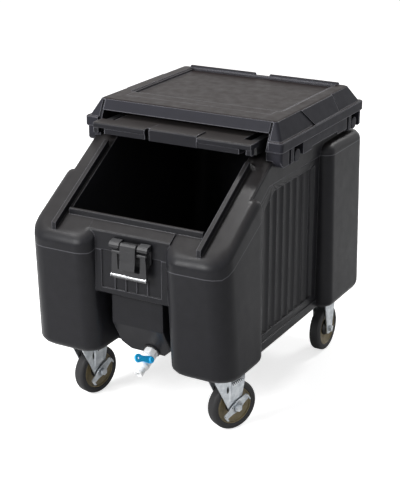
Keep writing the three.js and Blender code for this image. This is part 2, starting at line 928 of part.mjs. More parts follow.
// What the skirt lacks between its deep corners: it is shallow at the sides and at the rear.
function skirtWaist() {
  const [inside, outside] = [coreSide - cutOver, coverLipSide + cutOver];
  const low = coverSkirtBottom - cutOver;
  const blockFront = notchFrontY + notchHalfWidth;
  const waistFront = blockFront + skirtBlockWidth;
  const blockRear = notchRearY - slitOffset;
  const sides = joined(
    block(inside, outside, blockFront - fitGap, blockRear, low, skirtMiddle),
    block(inside, outside, waistFront, blockRear - skirtRearBlockWidth, low, skirtHigh),
  );
  const rear = block(-skirtRearHalf, skirtRearHalf, coreRear - cutOver, coverLipRear + cutOver, low, skirtHigh);
  return joined(sides, mirroredX(sides), rear);
}

// The round that the front corner posts of the skirt have at their feet.
function postFoot() {
  const outside = coverLipSide + cutOver;
  const front = coverLipFront + coverLipSide - coverSkirtSide;
  const [y, z] = [front + skirtFootRadius, coverSkirtBottom + skirtFootRadius];
  return without(
    block(-outside, outside, front - cutOver, y, coverSkirtBottom - cutOver, z),
    rod("x", skirtFootRadius, -outside - cutOver, outside + cutOver, [y, z]),
  );
}

// The groove in the front bevel beside the right corner post.
function postGroove() {
  const slope = (coverTopFront - bevelFoot.front) / (coverTop - coverTopEdge - coverLipTop);
  const at = (z, depth) => new THREE.Vector2(bevelFoot.front + (z - coverLipTop) * slope + depth, z);
  const [low, high] = [coverLipBottom - cutOver, coverTop - 2 * coverTopEdge];
  const points = [at(low, -2 * cutOver), at(low, postGrooveDepth), at(high, postGrooveDepth), at(high, -2 * cutOver)];
  return prism("x", points, postInner, postInner + postGrooveWidth);
}

// The raised middle of the right bevel, whose front end leans back.
function bevelPad() {
  const whole = bevelSlab(bevelStepTop, bevelPadRear, coverWall / 2, bevelPadThickness);
  const lean = prism(
    "x",
    outline([
      [bevelStepTop - cutOver, coverLipTop - cutOver, 0],
      [bevelStepLow, coverLipTop - cutOver, 0],
      [bevelStepLow, coverLipTop, 0],
      [bevelStepTop, coverTop, 0],
      [bevelStepTop - cutOver, coverTop, 0],
    ]),
    postInner,
    coverLipSide + cutOver,
  );
  return without(whole, lean);
}

function topCover() {
  const pad = bevelPad();
  const groove = bevelSlab(bevelPadRear, bevelPadRear + bevelGrooveWidth, bevelPadThickness, 2 * cutOver);
  const notches = joined(skirtNotch(notchFrontY, -1), skirtNotch(notchRearY, -1));
  const bead = (x0, x1) => {
    const low = coverTop - beadHeight;
    const points = rectangle(beadFront, beadFront + beadWidth, low, coverTop + beadHeight, beadWidth / 2 - fitGap);
    return prism("x", points, x0, x1, beadWidth / 4);
  };
  const border = rectangle(
    -trayHalfWidth - trayBorder,
    trayHalfWidth + trayBorder,
    trayFront - trayBorder,
    trayRear + trayBorder / 2,
    trayCorner,
  );
  const tray = rectangle(-trayHalfWidth, trayHalfWidth, trayFront, trayRear, trayCorner);
  return joined(
    without(
      joined(coverOutside(), pad, mirroredX(pad)),
      coverInside(),
      groove,
      mirroredX(groove),
      notches,
      mirroredX(notches),
      skirtWaist(),
      postFoot(),
      postGroove(),
      mirroredX(postGroove()),
      prism("z", border, coverTop - trayBorderDepth, coverTop + cutOver),
      prism("z", tray, coverTop - trayDepth, coverTop + cutOver),
    ),
    bead(-beadHalfLength, -beadGapHalf),
    bead(beadGapHalf, beadHalfLength),
  );
}

function coverLug(side, y) {
  const oval = new THREE.EllipseCurve(y, lugZ, lugHalfWidth, lugHalfHeight).getPoints(lugSides).slice(1);
  const head = prism("x", oval, lugHeadStart, lugHeadEnd, lugBevel);
  const stem = rod("x", lugStem, coreSide + fitGap, lugHeadStart + lugBevel, [y, lugZ]);
  const lug = joined(head, stem);
  return side < 0 ? mirroredX(lug) : lug;
}

// Height of the inside of a track, from the shaft's height and the glide that runs in it.
const trackLow = lidAxisZ - glideHeight / 2 - fitGap;
const trackHigh = lidAxisZ + glideHeight / 2 + fitGap;
const trackFront = lidAxisY - lidTravel - glideLength / 2 - 3 * fitGap;
const trackRear = lidAxisY + glideLength / 2 + 3 * fitGap;

function lidTrack(side) {
  const webInner = trackInner + glideWidth + 2 * fitGap;
  const webOuter = webInner + trackWall;
  const section = outline([
    [trackInner, bodyTop + fitGap, 0],
    [webOuter, bodyTop + fitGap, 0],
    [webOuter, trackHigh + trackWall, 0],
    [trackInner, trackHigh + trackWall, 0],
    [trackInner, trackHigh, 0],
    [webInner, trackHigh, 0],
    [webInner, trackLow, 0],
    [trackInner, trackLow, 0],
  ]);
  const channel = prism("y", section, trackFront - trackWall, trackRear + trackWall);
  const stop = (y) => block(trackInner, webOuter, y, y + trackWall, bodyTop + fitGap, trackHigh + trackWall);
  const track = joined(channel, stop(trackFront - trackWall), stop(trackRear));
  return side < 0 ? mirroredX(track) : track;
}

function lidPanel() {
  const rear = lidAxisY + lidTail;
  const nosingRear = nosingFront + nosingDepth;
  const slab = prism(
    "x",
    outline([
      [nosingRear - cutOver, lidBottom, 0],
      [rear, lidBottom, lidEdge],
      [rear, lidTop, lidEdge],
      [nosingRear - cutOver, lidTop, 0],
    ]),
    -lidHalfWidth,
    lidHalfWidth,
  );
  const nosing = prism(
    "x",
    outline([
      [nosingRear, nosingBottom, 0],
      [nosingRear, lidTop, lidEdge],
      [nosingFront, lidTop, nosingRound],
      [nosingFront, nosingBottom, lidEdge],
    ]),
    -nosingHalfWidth,
    nosingHalfWidth,
    lidEdge / 2,
  );
  const flange = prism(
    "x",
    outline([
      [nosingRear, lidBottom, 0],
      [nosingRear, nosingBottom + lidEdge, 0],
      [nosingFront + flangeSetback, nosingBottom + lidEdge, 0],
      [nosingFront + flangeSetback, lidBottom, lidEdge],
    ]),
    -flangeHalfWidth,
    flangeHalfWidth,
  );
  const hook = prism(
    "x",
    outline([
      [nosingFront + hookDepth, nosingBottom - hookDrop, lidEdge],
      [nosingFront + hookDepth, nosingBottom + lidEdge, 0],
      [nosingFront + flangeSetback, nosingBottom + lidEdge, 0],
      [nosingFront + flangeSetback, nosingBottom - hookDrop, lidEdge],
    ]),
    nosingHalfWidth - hookWidth,
    nosingHalfWidth,
  );
  const pocket = block(
    strikeLeft - strikeNotch,
    strikeRight + fitGap,
    nosingFront - cutOver,
    nosingFront + strikeDepth + fitGap,
    lidBottom - cutOver,
    lidTop + cutOver,
  );
  const bore = rod("x", shaftRadius + fitGap, -lidHalfWidth - cutOver, lidHalfWidth + cutOver, [lidAxisY, lidAxisZ]);
  return without(joined(slab, nosing, flange, hook, mirroredX(hook)), pocket, bore);
}

// The strike that the latch's bar hooks over: a block in the nosing's pocket and a pad on the lid.
function lidStrike() {
  const [low, high] = [lidTop + fitGap, lidTop + fitGap + strikePadThickness];
  const profile = outline([
    [nosingFront, lidBottom, lidEdge],
    [nosingFront + strikeDepth, lidBottom, 0],
    [nosingFront + strikeDepth, low, 0],
    [nosingFront + strikeDepth + strikePadDepth, low, 0],
    [nosingFront + strikeDepth + strikePadDepth, high, strikePadThickness / 2],
    [nosingFront, high, nosingRound],
  ]);
  return prism("x", profile, strikeLeft, strikeRight);
}

function lidShaft() {
  return rod("x", shaftRadius, -shaftReach, shaftReach, [lidAxisY, lidAxisZ]);
}

function lidGlide(side) {
  const half = glideLength / 2;
  const section = rectangle(
    lidAxisY - half,
    lidAxisY + half,
    lidAxisZ - glideHeight / 2,
    lidAxisZ + glideHeight / 2,
    lidEdge,
  );
  const inner = trackInner + fitGap;
  const bodyOfGlide = prism("x", section, inner, inner + glideWidth);
  const bore = rod("x", shaftRadius + fitGap, inner - cutOver, inner + glideWidth + cutOver, [lidAxisY, lidAxisZ]);
  const glide = without(bodyOfGlide, bore);
  return side < 0 ? mirroredX(glide) : glide;
}

// Latch pieces, built about its middle and placed at latchX by their group.
const bailPinZ = latchPivotZ - bailPinDrop;
const latchFront = latchPivotY - latchKnuckleRadius;

function latchPinHole(z, halfLength) {
  return rod("x", latchPinRadius + fitGap, -halfLength, halfLength, [latchPivotY, z]);
}

function latchBase() {
  const wall = panelFace - fitGap;
  const top = latchPivotZ + latchEarHeight / 2;
  const plate = prism(
    "y",
    rectangle(-latchBaseHalfWidth, latchBaseHalfWidth, top - latchBaseHeight, top, latchBaseThickness),
    wall - latchBaseThickness,
    wall,
  );
  const earBottom = latchPivotZ - latchEarHeight / 2;
  const section = outline([
    [wall - latchBaseThickness / 2, earBottom, 0],
    [wall - latchBaseThickness / 2, top, 0],
    [wall - latchEarReach, top, lidEdge],
    [wall - latchEarReach, earBottom, lidEdge],
  ]);
  const ear = prism("x", section, latchBaseHalfWidth - latchEarWidth, latchBaseHalfWidth);
  return without(joined(plate, ear, mirroredX(ear)), latchPinHole(latchPivotZ, latchBaseHalfWidth + cutOver));
}

function latchPin(z, reach) {
  return rod("x", latchPinRadius, -reach, reach, [latchPivotY, z]);
}

function latchLever() {
  const knuckle = (z, radius) =>
    rod("x", radius, -latchLeverHalfWidth, latchLeverHalfWidth, [latchPivotY, z]);
  const tongue = prism(
    "x",
    outline([
      [latchFront + latchLeverThickness, latchPivotZ, 0],
      [latchFront, latchPivotZ, 0],
      [latchFront - latchLeverThickness / 2, latchPivotZ - latchLeverLength, latchLeverThickness / 3],
      [latchFront + latchLeverThickness / 2, latchPivotZ - latchLeverLength, latchLeverThickness / 3],
    ]),
    -latchLeverHalfWidth,
    latchLeverHalfWidth,
  );
  const web = prism(
    "x",
    rectangle(latchFront + fitGap, latchPivotY, bailPinZ, latchPivotZ),
    -latchLeverHalfWidth,
    latchLeverHalfWidth,
  );
  const reach = latchLeverHalfWidth + cutOver;
  return without(
    joined(knuckle(latchPivotZ, latchKnuckleRadius), knuckle(bailPinZ, bailKnuckleRadius), tongue, web),
    latchPinHole(latchPivotZ, reach),
    latchPinHole(bailPinZ, reach),
  );
}

// The bail: an arm with a knuckle on each side of the lever, joined by the hem that carries the bar.
const bailBarY = latchPivotY - bailKnuckleRadius / 2;
const bailBarZ = bailPinZ - bailLength;

function latchBail() {
  const inner = bailOuter - bailArmWidth;
  const arm = joined(
    rod("x", bailKnuckleRadius, latchLeverHalfWidth + fitGap, bailOuter, [latchPivotY, bailPinZ]),
    prism(
      "x",
      outline([
        [bailBarY - bailThickness / 2, bailPinZ, 0],
        [bailBarY + bailThickness / 2, bailPinZ, 0],
        [bailBarY + bailThickness / 2, bailBarZ, 0],
        [bailBarY - bailThickness / 2, bailBarZ, 0],
      ]),
      inner,
      bailOuter,
    ),
  );
  const hem = joined(
    prism(
      "x",
      rectangle(
        bailBarY - bailThickness / 2,
        bailBarY + bailThickness / 2,
        bailBarZ,
        bailBarZ + bailHem,
      ),
      -bailOuter,
      bailOuter,
    ),
    rod("x", bailBarRadius + bailThickness / 2, -bailOuter, bailOuter, [bailBarY, bailBarZ]),
  );
  const seat = rod("x", bailBarRadius + fitGap, -bailOuter - cutOver, bailOuter + cutOver, [bailBarY, bailBarZ]);
  const openFront = block(
    -bailOuter - cutOver,
    bailOuter + cutOver,
    bailBarY - 2 * bailBarRadius,
    bailBarY - bailBarRadius / 2,
    bailBarZ - 2 * bailBarRadius,
    bailBarZ + bailBarRadius + fitGap,
  );
  const reach = bailOuter + cutOver;
  return without(joined(arm, mirroredX(arm), hem), seat, openFront, latchPinHole(bailPinZ, reach));
}

function latchBar() {
  const end = bailOuter + fitGap;
  const head = (side) => {
    const ends = [side * end, side * (end + bailBarOverhang)];
    return rod("x", bailBarHead, Math.min(...ends), Math.max(...ends), [bailBarY, bailBarZ]);
  };
  return joined(rod("x", bailBarRadius, -end - fitGap, end + fitGap, [bailBarY, bailBarZ]), head(-1), head(1));
}

// Drain valve pieces, turned about the valve's own axis, whose zero is the belly's face.
const nutStart = fitGap + gasketThickness + fitGap;
const valveStart = nutStart + nutLength + fitGap;
const ballCentre = valveStart + valveLength / 2;
const valveEnd = valveStart + valveLength;
const spoutStart = valveEnd + fitGap;

function drainGasket() {
  return turned([
    [tailRadius + fitGap, fitGap],
    [gasketRadius, fitGap],
    [gasketRadius, fitGap + gasketThickness],
    [tailRadius + fitGap, fitGap + gasketThickness],
    [tailRadius + fitGap, fitGap],
  ]);
}

function drainNut() {
  const sides = 12;
  const grip = nutRadius * 0.92;
  const outlinePoints = Array.from({ length: 2 * sides }, (_, i) => {
    const angle = (Math.PI * i) / sides;
    const radius = i % 2 ? grip : nutRadius;
    return new THREE.Vector2(radius * Math.cos(angle), radius * Math.sin(angle));
  });
  const bodyOfNut = prism("z", outlinePoints, nutStart, nutStart + nutLength, gasketThickness / 3);
  const hole = rod("z", tailRadius + fitGap, nutStart - cutOver, nutStart + nutLength + cutOver, [0, 0]);
  return without(bodyOfNut, hole);
}

function valveBody() {
  const outside = turned([
    [0, -tailLength],
    [tailRadius, -tailLength],
    [tailRadius, valveStart],
    [valveRadius, valveStart],
    [valveRadius, valveEnd],
    [0, valveEnd],
  ]);
  const flow = rod("z", flowRadius, -tailLength - cutOver, valveEnd + cutOver, [0, 0]);
  const seat = new THREE.SphereGeometry(ballRadius + ballPlay, ballSides, ballSides / 2);
  seat.translate(0, 0, ballCentre);
  const stem = rod("y", stemRadius + fitGap, 0, valveRadius + cutOver, [0, ballCentre], ballSides);
  const turn = new THREE.Matrix4().makeRotationZ(-THREE.MathUtils.degToRad(stemTurn));
  return without(outside, flow, solid(seat), moved(stem, turn));
}

// The ball with its stem, about the ball's middle: the stem points along Y and the closed bore along X.
function valveBall() {
  const ball = solid(new THREE.SphereGeometry(ballRadius, ballSides, ballSides / 2));
  const stemTop = valveRadius + leverStandoff + leverThickness + fitGap;
  const stem = joined(
    rod("y", stemRadius, flowRadius + fitGap, stemTop, [0, 0], ballSides),
    rod("y", stemHead, stemTop, stemTop + leverStandoff, [0, 0], ballSides),
  );
  const flow = rod("x", flowRadius, -ballRadius - cutOver, ballRadius + cutOver, [0, 0], ballSides);
  return joined(without(ball, flow), stem);
}

function valveSpout() {
  const middle = spoutStart + spoutLength / 2;
  const end = spoutStart + spoutLength;
  return turned([
    [flowRadius, spoutStart],
    [spoutRadius, spoutStart],
    [spoutRadius, spoutStart + spoutLength / 5],
    [spoutTipRadius + spoutBarb, middle + spoutLength / 6],
    [spoutTipRadius - spoutBarb, middle + spoutLength / 5],
    [spoutTipRadius + spoutBarb / 2, end - spoutBarb],
    [spoutTipRadius - spoutBarb, end],
    [flowRadius, end],
    [flowRadius, spoutStart],
  ]);
}

// The blue lever on the stem, about the ball's middle, pointing along negative X.
function valveLever() {
  const low = valveRadius + leverStandoff;
  const arm = outline([
    [-leverLength, -leverWidth / 3, 0],
    [0, -leverWidth / 2, 0],
    [leverWidth / 2, -leverWidth / 2, leverWidth / 3],
    [leverWidth / 2, leverWidth / 2, leverWidth / 3],
    [0, leverWidth / 2, 0],
    [-leverLength, leverWidth / 3, 0],
  ]);
  const paddle = joined(
    prism("y", arm, low, low + leverThickness),
    rod("y", leverRingRadius, low, low + leverThickness, [-leverLength, 0]),
  );
  return without(
    paddle,
    rod("y", leverRingBore, low - cutOver, low + leverThickness + cutOver, [-leverLength, 0]),
    rod("y", stemRadius + fitGap, low - cutOver, low + leverThickness + cutOver, [0, 0], ballSides),
  );
}

// Caster pieces. The wheel turns about the X axis of its group, whose origin is the wheel's middle.
const legInner = hubHalfWidth + fitGap;
const legOuter = legInner + forkThickness;
const plateTop = casterHeight - wheelRadius;
const plateLow = plateTop - casterPlateThickness;
const raceLow = plateLow - raceHeight;
const crownTop = raceLow - fitGap;
const crownLow = crownTop - forkCrownHeight;

function tyre() {
  const inner = coreRadius + fitGap;
  const profile = outline(
    [
      [inner, -coreHalfWidth, 0],
      [wheelRadius, -tyreHalfWidth, tyreShoulder],
      [wheelRadius, tyreHalfWidth, tyreShoulder],
      [inner, coreHalfWidth, 0],
    ],
    2,
  ).map(({ x, y }) => [x, y]);
  return moved(turned([...profile, profile[0]], tyreSides), new THREE.Matrix4().makeRotationY(Math.PI / 2));
}

function wheelCore() {
  const bore = axleRadius + fitGap;
  const rim = coreRadius - coreRimDepth;
  const half = [
    [bore, hubHalfWidth],
    [hubRadius, hubHalfWidth],
    [hubRadius, coreWebHalfWidth],
    [rim, coreWebHalfWidth],
    [coreRadius - coreRimDepth / 2, coreHalfWidth],
    [coreRadius, coreHalfWidth],
  ];
  const lower = half.map(([radius, height]) => [radius, -height]).reverse();
  return moved(turned([...half, ...lower, half[0]]), new THREE.Matrix4().makeRotationY(Math.PI / 2));
}

// The axle bolt, with its head on the side away from the nut.
function axle(reach) {
  return joined(
    rod("x", axleRadius, -legOuter - fitGap, reach, [0, 0]),
    rod("x", axleHead, -legOuter - fitGap - axleHeadThickness, -legOuter - fitGap, [0, 0]),
  );
}

function axleNut(start) {
  const hexagon = Array.from({ length: 6 }, (_, i) => {
    const angle = (Math.PI * (2 * i + 1)) / 6;
    const radius = nutFlats / Math.sqrt(3);
    return new THREE.Vector2(radius * Math.cos(angle), radius * Math.sin(angle));
  });
  const hole = rod("x", axleRadius + fitGap, start - cutOver, start + nutThickness + cutOver, [0, 0]);
  return without(prism("x", hexagon, start, start + nutThickness), hole);
}

// A stamped leg at the outboard side: wide at the crown, round at the axle. Its middle leans by offset.
function forkLeg(width, offset) {
  const half = width / 2;
  const plate = outline([
    [offset - half, crownTop, 0],
    [offset - half, crownLow - forkCrownHeight, forkCrownHeight],
    [-forkFootRadius, -forkFootRadius, forkFootRadius * 0.9],
    [forkFootRadius, -forkFootRadius, forkFootRadius * 0.9],
    [offset + half, crownLow - forkCrownHeight, forkCrownHeight],
    [offset + half, crownTop, 0],
  ]);
  const leg = prism("x", plate, legInner, legOuter);
  const bore = rod("x", axleRadius + fitGap, legInner - cutOver, legOuter + cutOver, [0, 0]);
  return without(leg, bore);
}

function swivelFork() {
  const offset = -forkTrail / 2;
  const leg = forkLeg(forkLegWidth, offset);
  const crease = prism(
    "x",
    outline([
      [-forkCreaseWidth / 3, forkFootRadius * 1.6, 0],
      [forkCreaseWidth / 3, forkFootRadius * 1.6, 0],
      [offset + forkCreaseWidth / 2, crownLow, 0],
      [offset - forkCreaseWidth / 2, crownLow, 0],
    ]),
    legInner + fitGap,
    legOuter + forkCreaseDepth,
  );
  const creased = joined(leg, crease);
  const reach = forkCrownReach;
  const crown = prism(
    "z",
    rectangle(-legOuter, legOuter, -forkTrail - reach, -forkTrail + reach, forkThickness),
    crownLow + forkCrownHeight / 2,
    crownTop,
  );
  return joined(creased, mirroredX(creased), crown);
}

function swivelPlate() {
  const plate = prism(
    "z",
    rectangle(
      -casterPlateWidth / 2,
      casterPlateWidth / 2,
      -casterPlateLength / 2,
      casterPlateLength / 2,
      casterPlateCorner,
    ),
    plateLow,
    plateTop,
  );
  const race = turned([
    [0, raceLow],
    [raceRadius * 0.75, raceLow],
    [raceRadius, raceLow + raceHeight / 3],
    [raceRadius, plateLow + fitGap],
    [0, plateLow + fitGap],
  ]);
  return joined(plate, race);
}

function rigidFork() {
  const leg = forkLeg(rigidLegWidth, 0);
  const crown = prism(
    "z",
    rectangle(-legOuter, legOuter, -rigidCrownReach, rigidCrownReach, forkThickness),
    crownLow + forkCrownHeight / 2,
    plateTop,
  );
  const plate = prism(
    "z",
    rectangle(
      -casterPlateWidth / 2,
      casterPlateWidth / 2,
      -casterPlateLength / 2,
      casterPlateLength / 2,
      casterPlateCorner,
    ),
    plateLow,
    plateTop,
  );
  return joined(leg, mirroredX(leg), crown, plate);
}

// The rocking brake lever on the outboard side, with a curled tip at each end.
function brakeRocker() {
  const start = legOuter + forkCreaseDepth + 2 * fitGap;
  const [half, width] = [brakeHalfLength, brakeWidth / 2];
  const bar = outline([
    [-half, -width, lidEdge],
    [half, -width, lidEdge],
    [half, width, lidEdge],
    [-half, width, lidEdge],
  ]);
  const tip = (end) => {
    const [y0, y1] = [end * half, end * (half - brakeThickness)];
    const points = rectangle(Math.min(y0, y1), Math.max(y0, y1), -width, width);
    return prism("x", points, start, start + brakeThickness + brakeTipDrop);
  };
  const hub = rod("x", brakeHubRadius, start, start + brakeThickness + fitGap, [0, 0]);
  const bore = rod("x", axleRadius + fitGap, start - cutOver, start + 4 * cutOver, [0, 0]);
  const rocker = without(joined(prism("x", bar, start, start + brakeThickness), tip(-1), tip(1), hub), bore);
  return moved(rocker, new THREE.Matrix4().makeRotationX(THREE.MathUtils.degToRad(brakeTilt)));
}

const bin = new THREE.Group();

function addPiece(group, name, material, shape) {
  const mesh = new THREE.Mesh(geometryOf(shape), material);
  mesh.name = name;
  group.add(mesh);
}

function addBody() {
  addPiece(bin, "body_shell", blackPlastic, bodyShell());
  addPiece(bin, "drain_shelf", whiteNylon, drainShelf());
  addPiece(bin, "top_cover", blackPlastic, topCover());
  for (const [side, name] of [
    [-1, "left"],
    [1, "right"],
  ]) {
    addPiece(bin, `cover_lug_front_${name}`, blackPlastic, coverLug(side, notchFrontY));
    addPiece(bin, `cover_lug_rear_${name}`, blackPlastic, coverLug(side, notchRearY));
    addPiece(bin, `lid_track_${name}`, darkLatch, lidTrack(side));
  }
}

function addLid() {
  addPiece(bin, "lid_panel", blackPlastic, lidPanel());
  addPiece(bin, "lid_strike", blackPlastic, lidStrike());
  addPiece(bin, "lid_shaft", brightSteel, lidShaft());
  addPiece(bin, "lid_glide_left", whiteNylon, lidGlide(-1));
  addPiece(bin, "lid_glide_right", whiteNylon, lidGlide(1));
}

function addLatch() {
  const group = new THREE.Group();
  group.position.x = latchX;
  bin.add(group);
  addPiece(group, "latch_base", darkLatch, latchBase());
  addPiece(group, "latch_pin", brightSteel, latchPin(latchPivotZ, latchBaseHalfWidth));
  addPiece(group, "latch_lever", darkLatch, latchLever());
  addPiece(group, "bail_pin", brightSteel, latchPin(bailPinZ, bailOuter));
  addPiece(group, "latch_bail", darkLatch, latchBail());
  addPiece(group, "latch_bar", brightSteel, latchBar());
}

function addValve() {
  const group = new THREE.Group();
  group.position.set(valveX, valveY, valveZ);
  group.rotation.x = valveTurn;
  bin.add(group);
  addPiece(group, "drain_gasket", gasketRubber, drainGasket());
  addPiece(group, "drain_nut", whiteNylon, drainNut());
  addPiece(group, "valve_body", whiteNylon, valveBody());
  addPiece(group, "valve_spout", whiteNylon, valveSpout());
  const stem = new THREE.Group();
  stem.position.z = ballCentre;
  stem.rotation.z = -THREE.MathUtils.degToRad(stemTurn);
  group.add(stem);
  addPiece(stem, "valve_ball", whiteNylon, valveBall());
  const handle = new THREE.Group();
  handle.rotation.y = THREE.MathUtils.degToRad(leverLean);
  stem.add(handle);
  addPiece(handle, "valve_lever", blueNylon, valveLever());
}

function addWheel(group, name, reach, nutStartX) {
  addPiece(group, `tyre_${name}`, tyreRubber, tyre());
  addPiece(group, `wheel_core_${name}`, oliveCore, wheelCore());
  addPiece(group, `axle_${name}`, zincSteel, axle(reach));
  addPiece(group, `axle_nut_${name}`, zincSteel, axleNut(nutStartX));
}

// A front caster: the plate stays square to the body, and the fork turns about the swivel by the yaw.
function addFrontCaster(side, name, yaw) {
  const fixed = new THREE.Group();
  fixed.position.set(side * frontSwivelX, frontSwivelY, wheelRadius);
  bin.add(fixed);
  addPiece(fixed, `caster_plate_${name}`, zincSteel, swivelPlate());
  const swivel = new THREE.Group();
  swivel.rotation.z = THREE.MathUtils.degToRad(yaw);
  fixed.add(swivel);
  const wheel = new THREE.Group();
  wheel.position.y = forkTrail;
  swivel.add(wheel);
  const brakeStart = legOuter + forkCreaseDepth + 2 * fitGap;
  const nutAt = brakeStart + brakeThickness + 2 * fitGap;
  addPiece(wheel, `fork_${name}`, zincSteel, swivelFork());
  addPiece(wheel, `brake_${name}`, zincSteel, brakeRocker());
  addWheel(wheel, name, nutAt + nutThickness, nutAt);
}

function addRearCaster(side, name) {
  const fixed = new THREE.Group();
  fixed.position.set(side * rearWheelX, rearWheelY, wheelRadius);
  fixed.rotation.z = side < 0 ? Math.PI : 0;
  bin.add(fixed);
  const nutAt = legOuter + fitGap;
  addPiece(fixed, `fork_${name}`, zincSteel, rigidFork());
  addWheel(fixed, name, nutAt + nutThickness, nutAt);
}

addBody();
addLid();
addLatch();
addValve();
addFrontCaster(-1, "front_left", frontYawLeft);
addFrontCaster(1, "front_right", frontYawRight);
addRearCaster(-1, "rear_left");
addRearCaster(1, "rear_right");

export default bin;
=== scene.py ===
# Mobile ice bin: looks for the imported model, in metres, with the floor at z = 0 and the front at -Y.
import json
import math

import bmesh
import bpy
from mathutils import Matrix, Vector
from mathutils.geometry import tessellate_polygon


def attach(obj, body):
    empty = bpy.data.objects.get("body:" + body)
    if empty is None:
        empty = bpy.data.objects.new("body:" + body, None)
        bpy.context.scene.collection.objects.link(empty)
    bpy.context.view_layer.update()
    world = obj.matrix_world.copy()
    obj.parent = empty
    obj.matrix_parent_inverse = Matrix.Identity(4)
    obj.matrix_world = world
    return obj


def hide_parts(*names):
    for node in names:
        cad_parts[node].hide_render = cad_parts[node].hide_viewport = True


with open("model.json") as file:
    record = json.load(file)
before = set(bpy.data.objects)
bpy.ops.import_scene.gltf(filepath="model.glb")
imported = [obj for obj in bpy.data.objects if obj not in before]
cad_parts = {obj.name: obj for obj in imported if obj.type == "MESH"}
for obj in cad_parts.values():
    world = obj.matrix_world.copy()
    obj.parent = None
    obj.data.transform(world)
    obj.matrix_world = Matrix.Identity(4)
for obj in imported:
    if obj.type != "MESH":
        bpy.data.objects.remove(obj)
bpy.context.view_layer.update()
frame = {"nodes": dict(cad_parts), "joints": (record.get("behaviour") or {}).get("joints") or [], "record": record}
nodes = frame["nodes"]
print("frame loaded:", len(nodes), "CAD nodes")


# Shading helpers

def hexToLinear(hexColor):
    value = hexColor.lstrip("#")
    channels = [int(value[i : i + 2], 16) / 255 for i in (0, 2, 4)]
    linear = [c / 12.92 if c <= 0.04045 else ((c + 0.055) / 1.055) ** 2.4 for c in channels]
    return (*linear, 1.0)


def addNode(tree, kind, settings=None, links=None):
    node = tree.nodes.new(kind)
    for name, value in (settings or {}).items():
        if name in node.inputs:
            node.inputs[name].default_value = value
        else:
            setattr(node, name, value)
    for name, source in (links or {}).items():
        tree.links.new(source, node.inputs[name])
    return node


def newMaterial(name):
    material = bpy.data.materials.new(name)
    material.use_nodes = True
    tree = material.node_tree
    tree.nodes.clear()
    shader = addNode(tree, "ShaderNodeBsdfPrincipled")
    addNode(tree, "ShaderNodeOutputMaterial", links={"Surface": shader.outputs[0]})
    return material, tree, shader


def feed(tree, socket, value):
    # A socket takes a constant, or the output of another node.
    if isinstance(value, bpy.types.NodeSocket):
        tree.links.new(value, socket)
    else:
        socket.default_value = value


def rampBetween(tree, source, low, high, lowColor, highColor):
    ramp = addNode(tree, "ShaderNodeValToRGB", links={"Fac": source})
    ramp.color_ramp.elements[0].position = low
    ramp.color_ramp.elements[0].color = lowColor
    ramp.color_ramp.elements[1].position = high
    ramp.color_ramp.elements[1].color = highColor
    return ramp.outputs["Color"]


def rangeOf(tree, source, fromLow, fromHigh, toLow, toHigh):
    settings = {"From Min": fromLow, "From Max": fromHigh, "To Min": toLow, "To Max": toHigh}
    return addNode(tree, "ShaderNodeMapRange", settings, {"Value": source}).outputs[0]


noiseSpan = (0.3, 0.7)  # nearly all values of a noise lie between these


def noiseAt(tree, place, sizeMm, detail, roughness=0.55):
    # One noise cell is about sizeMm across, because the model is in metres.
    settings = {"Scale": 1000.0 / sizeMm, "Detail": detail, "Roughness": roughness}
    return addNode(tree, "ShaderNodeTexNoise", settings, {"Vector": place}).outputs[0]


def mathOf(tree, operation, *values):
    node = addNode(tree, "ShaderNodeMath", {"operation": operation})
    for socket, value in zip(node.inputs, values):
        feed(tree, socket, value)
    return node.outputs[0]


def mixColors(tree, share, first, second, blend="MIX"):
    node = addNode(tree, "ShaderNodeMix", {"data_type": "RGBA", "blend_type": blend})
    for slot, value in ((0, share), (6, first), (7, second)):  # the colour sockets of this node
        feed(tree, node.inputs[slot], value)
    return node.outputs[2]


def roundedNormal(tree, radiusMm, samples=4):
    return addNode(tree, "ShaderNodeBevel", {"samples": samples, "Radius": radiusMm / 1000}).outputs[0]


def bumpOf(tree, height, strengthAndDepth, normal=None):
    strength, depth = strengthAndDepth
    node = addNode(tree, "ShaderNodeBump", {"Strength": strength, "Distance": depth}, {"Height": height})
    if normal is not None:
        tree.links.new(normal, node.inputs["Normal"])
    return node.outputs[0]


# Moulded plastics: polyethylene for the bin, half-gloss nylon for the fittings

mouldedLook = {
    "binColor": "#1d1d20",  # charcoal polyethylene under a plain light
    "scuffColor": "#28282c",
    "scuffShare": 0.35,
    "scuffSpan": (0.3, 0.75),  # the mottle's values where scuffs begin and where they are full
    # dust, with a painted sheen in it, on what faces up
    "dustAndSheenColor": "#3f3b38",
    "dustAndSheenFacing": (0.55, 0.95),  # the normal's height where dust and a painted sheen begin and where they are full
    "dustAndSheenPatches": (0.9, 1.0),
    "grain": (1.6, 2.0, 0.5),  # size in mm, detail and roughness; the real 0.3 mm grain would not show
    "grainBump": (0.35, 0.0002),  # strength, and depth in metres
    "ripple": (60.0, 1.0, 0.4),  # slow waves of a rotational moulding's wall
    "rippleBump": (0.5, 0.002),
    "mottle": (24.0, 4.0, 0.6),
    "roughness": (0.3, 0.4),
    "highlightRoughness": (0.5, 0.6),  # full at this much painted highlight, and what is left of the roughness there
    "edgeMm": 3.4,
    # the colour of the painted highlight on edges and moulded lines
    "edgeHighlightColor": "#a2a2aa",
    "edgeBend": (0.99, 0.88),  # cosine to the rounded normal where the painted edge highlight begins and where it is full
    # how strongly the moulded lines get the painted highlight
    "seamHighlight": 0.17,
    "creaseMm": 26.0,  # how far from a surface another one casts painted shade on it
    "creaseOpen": (0.35, 0.85),
    "creaseShade": 0.35,
    "samples": 6,
}


def lineMask(tree, offset, widthMm):
    # 1 on a moulded line and 0 beside it; the line is drawn a little wider than the real 0.8 mm.
    distance = mathOf(tree, "ABSOLUTE", offset)
    return rangeOf(tree, distance, widthMm / 2000, widthMm / 1000, 1.0, 0.0)


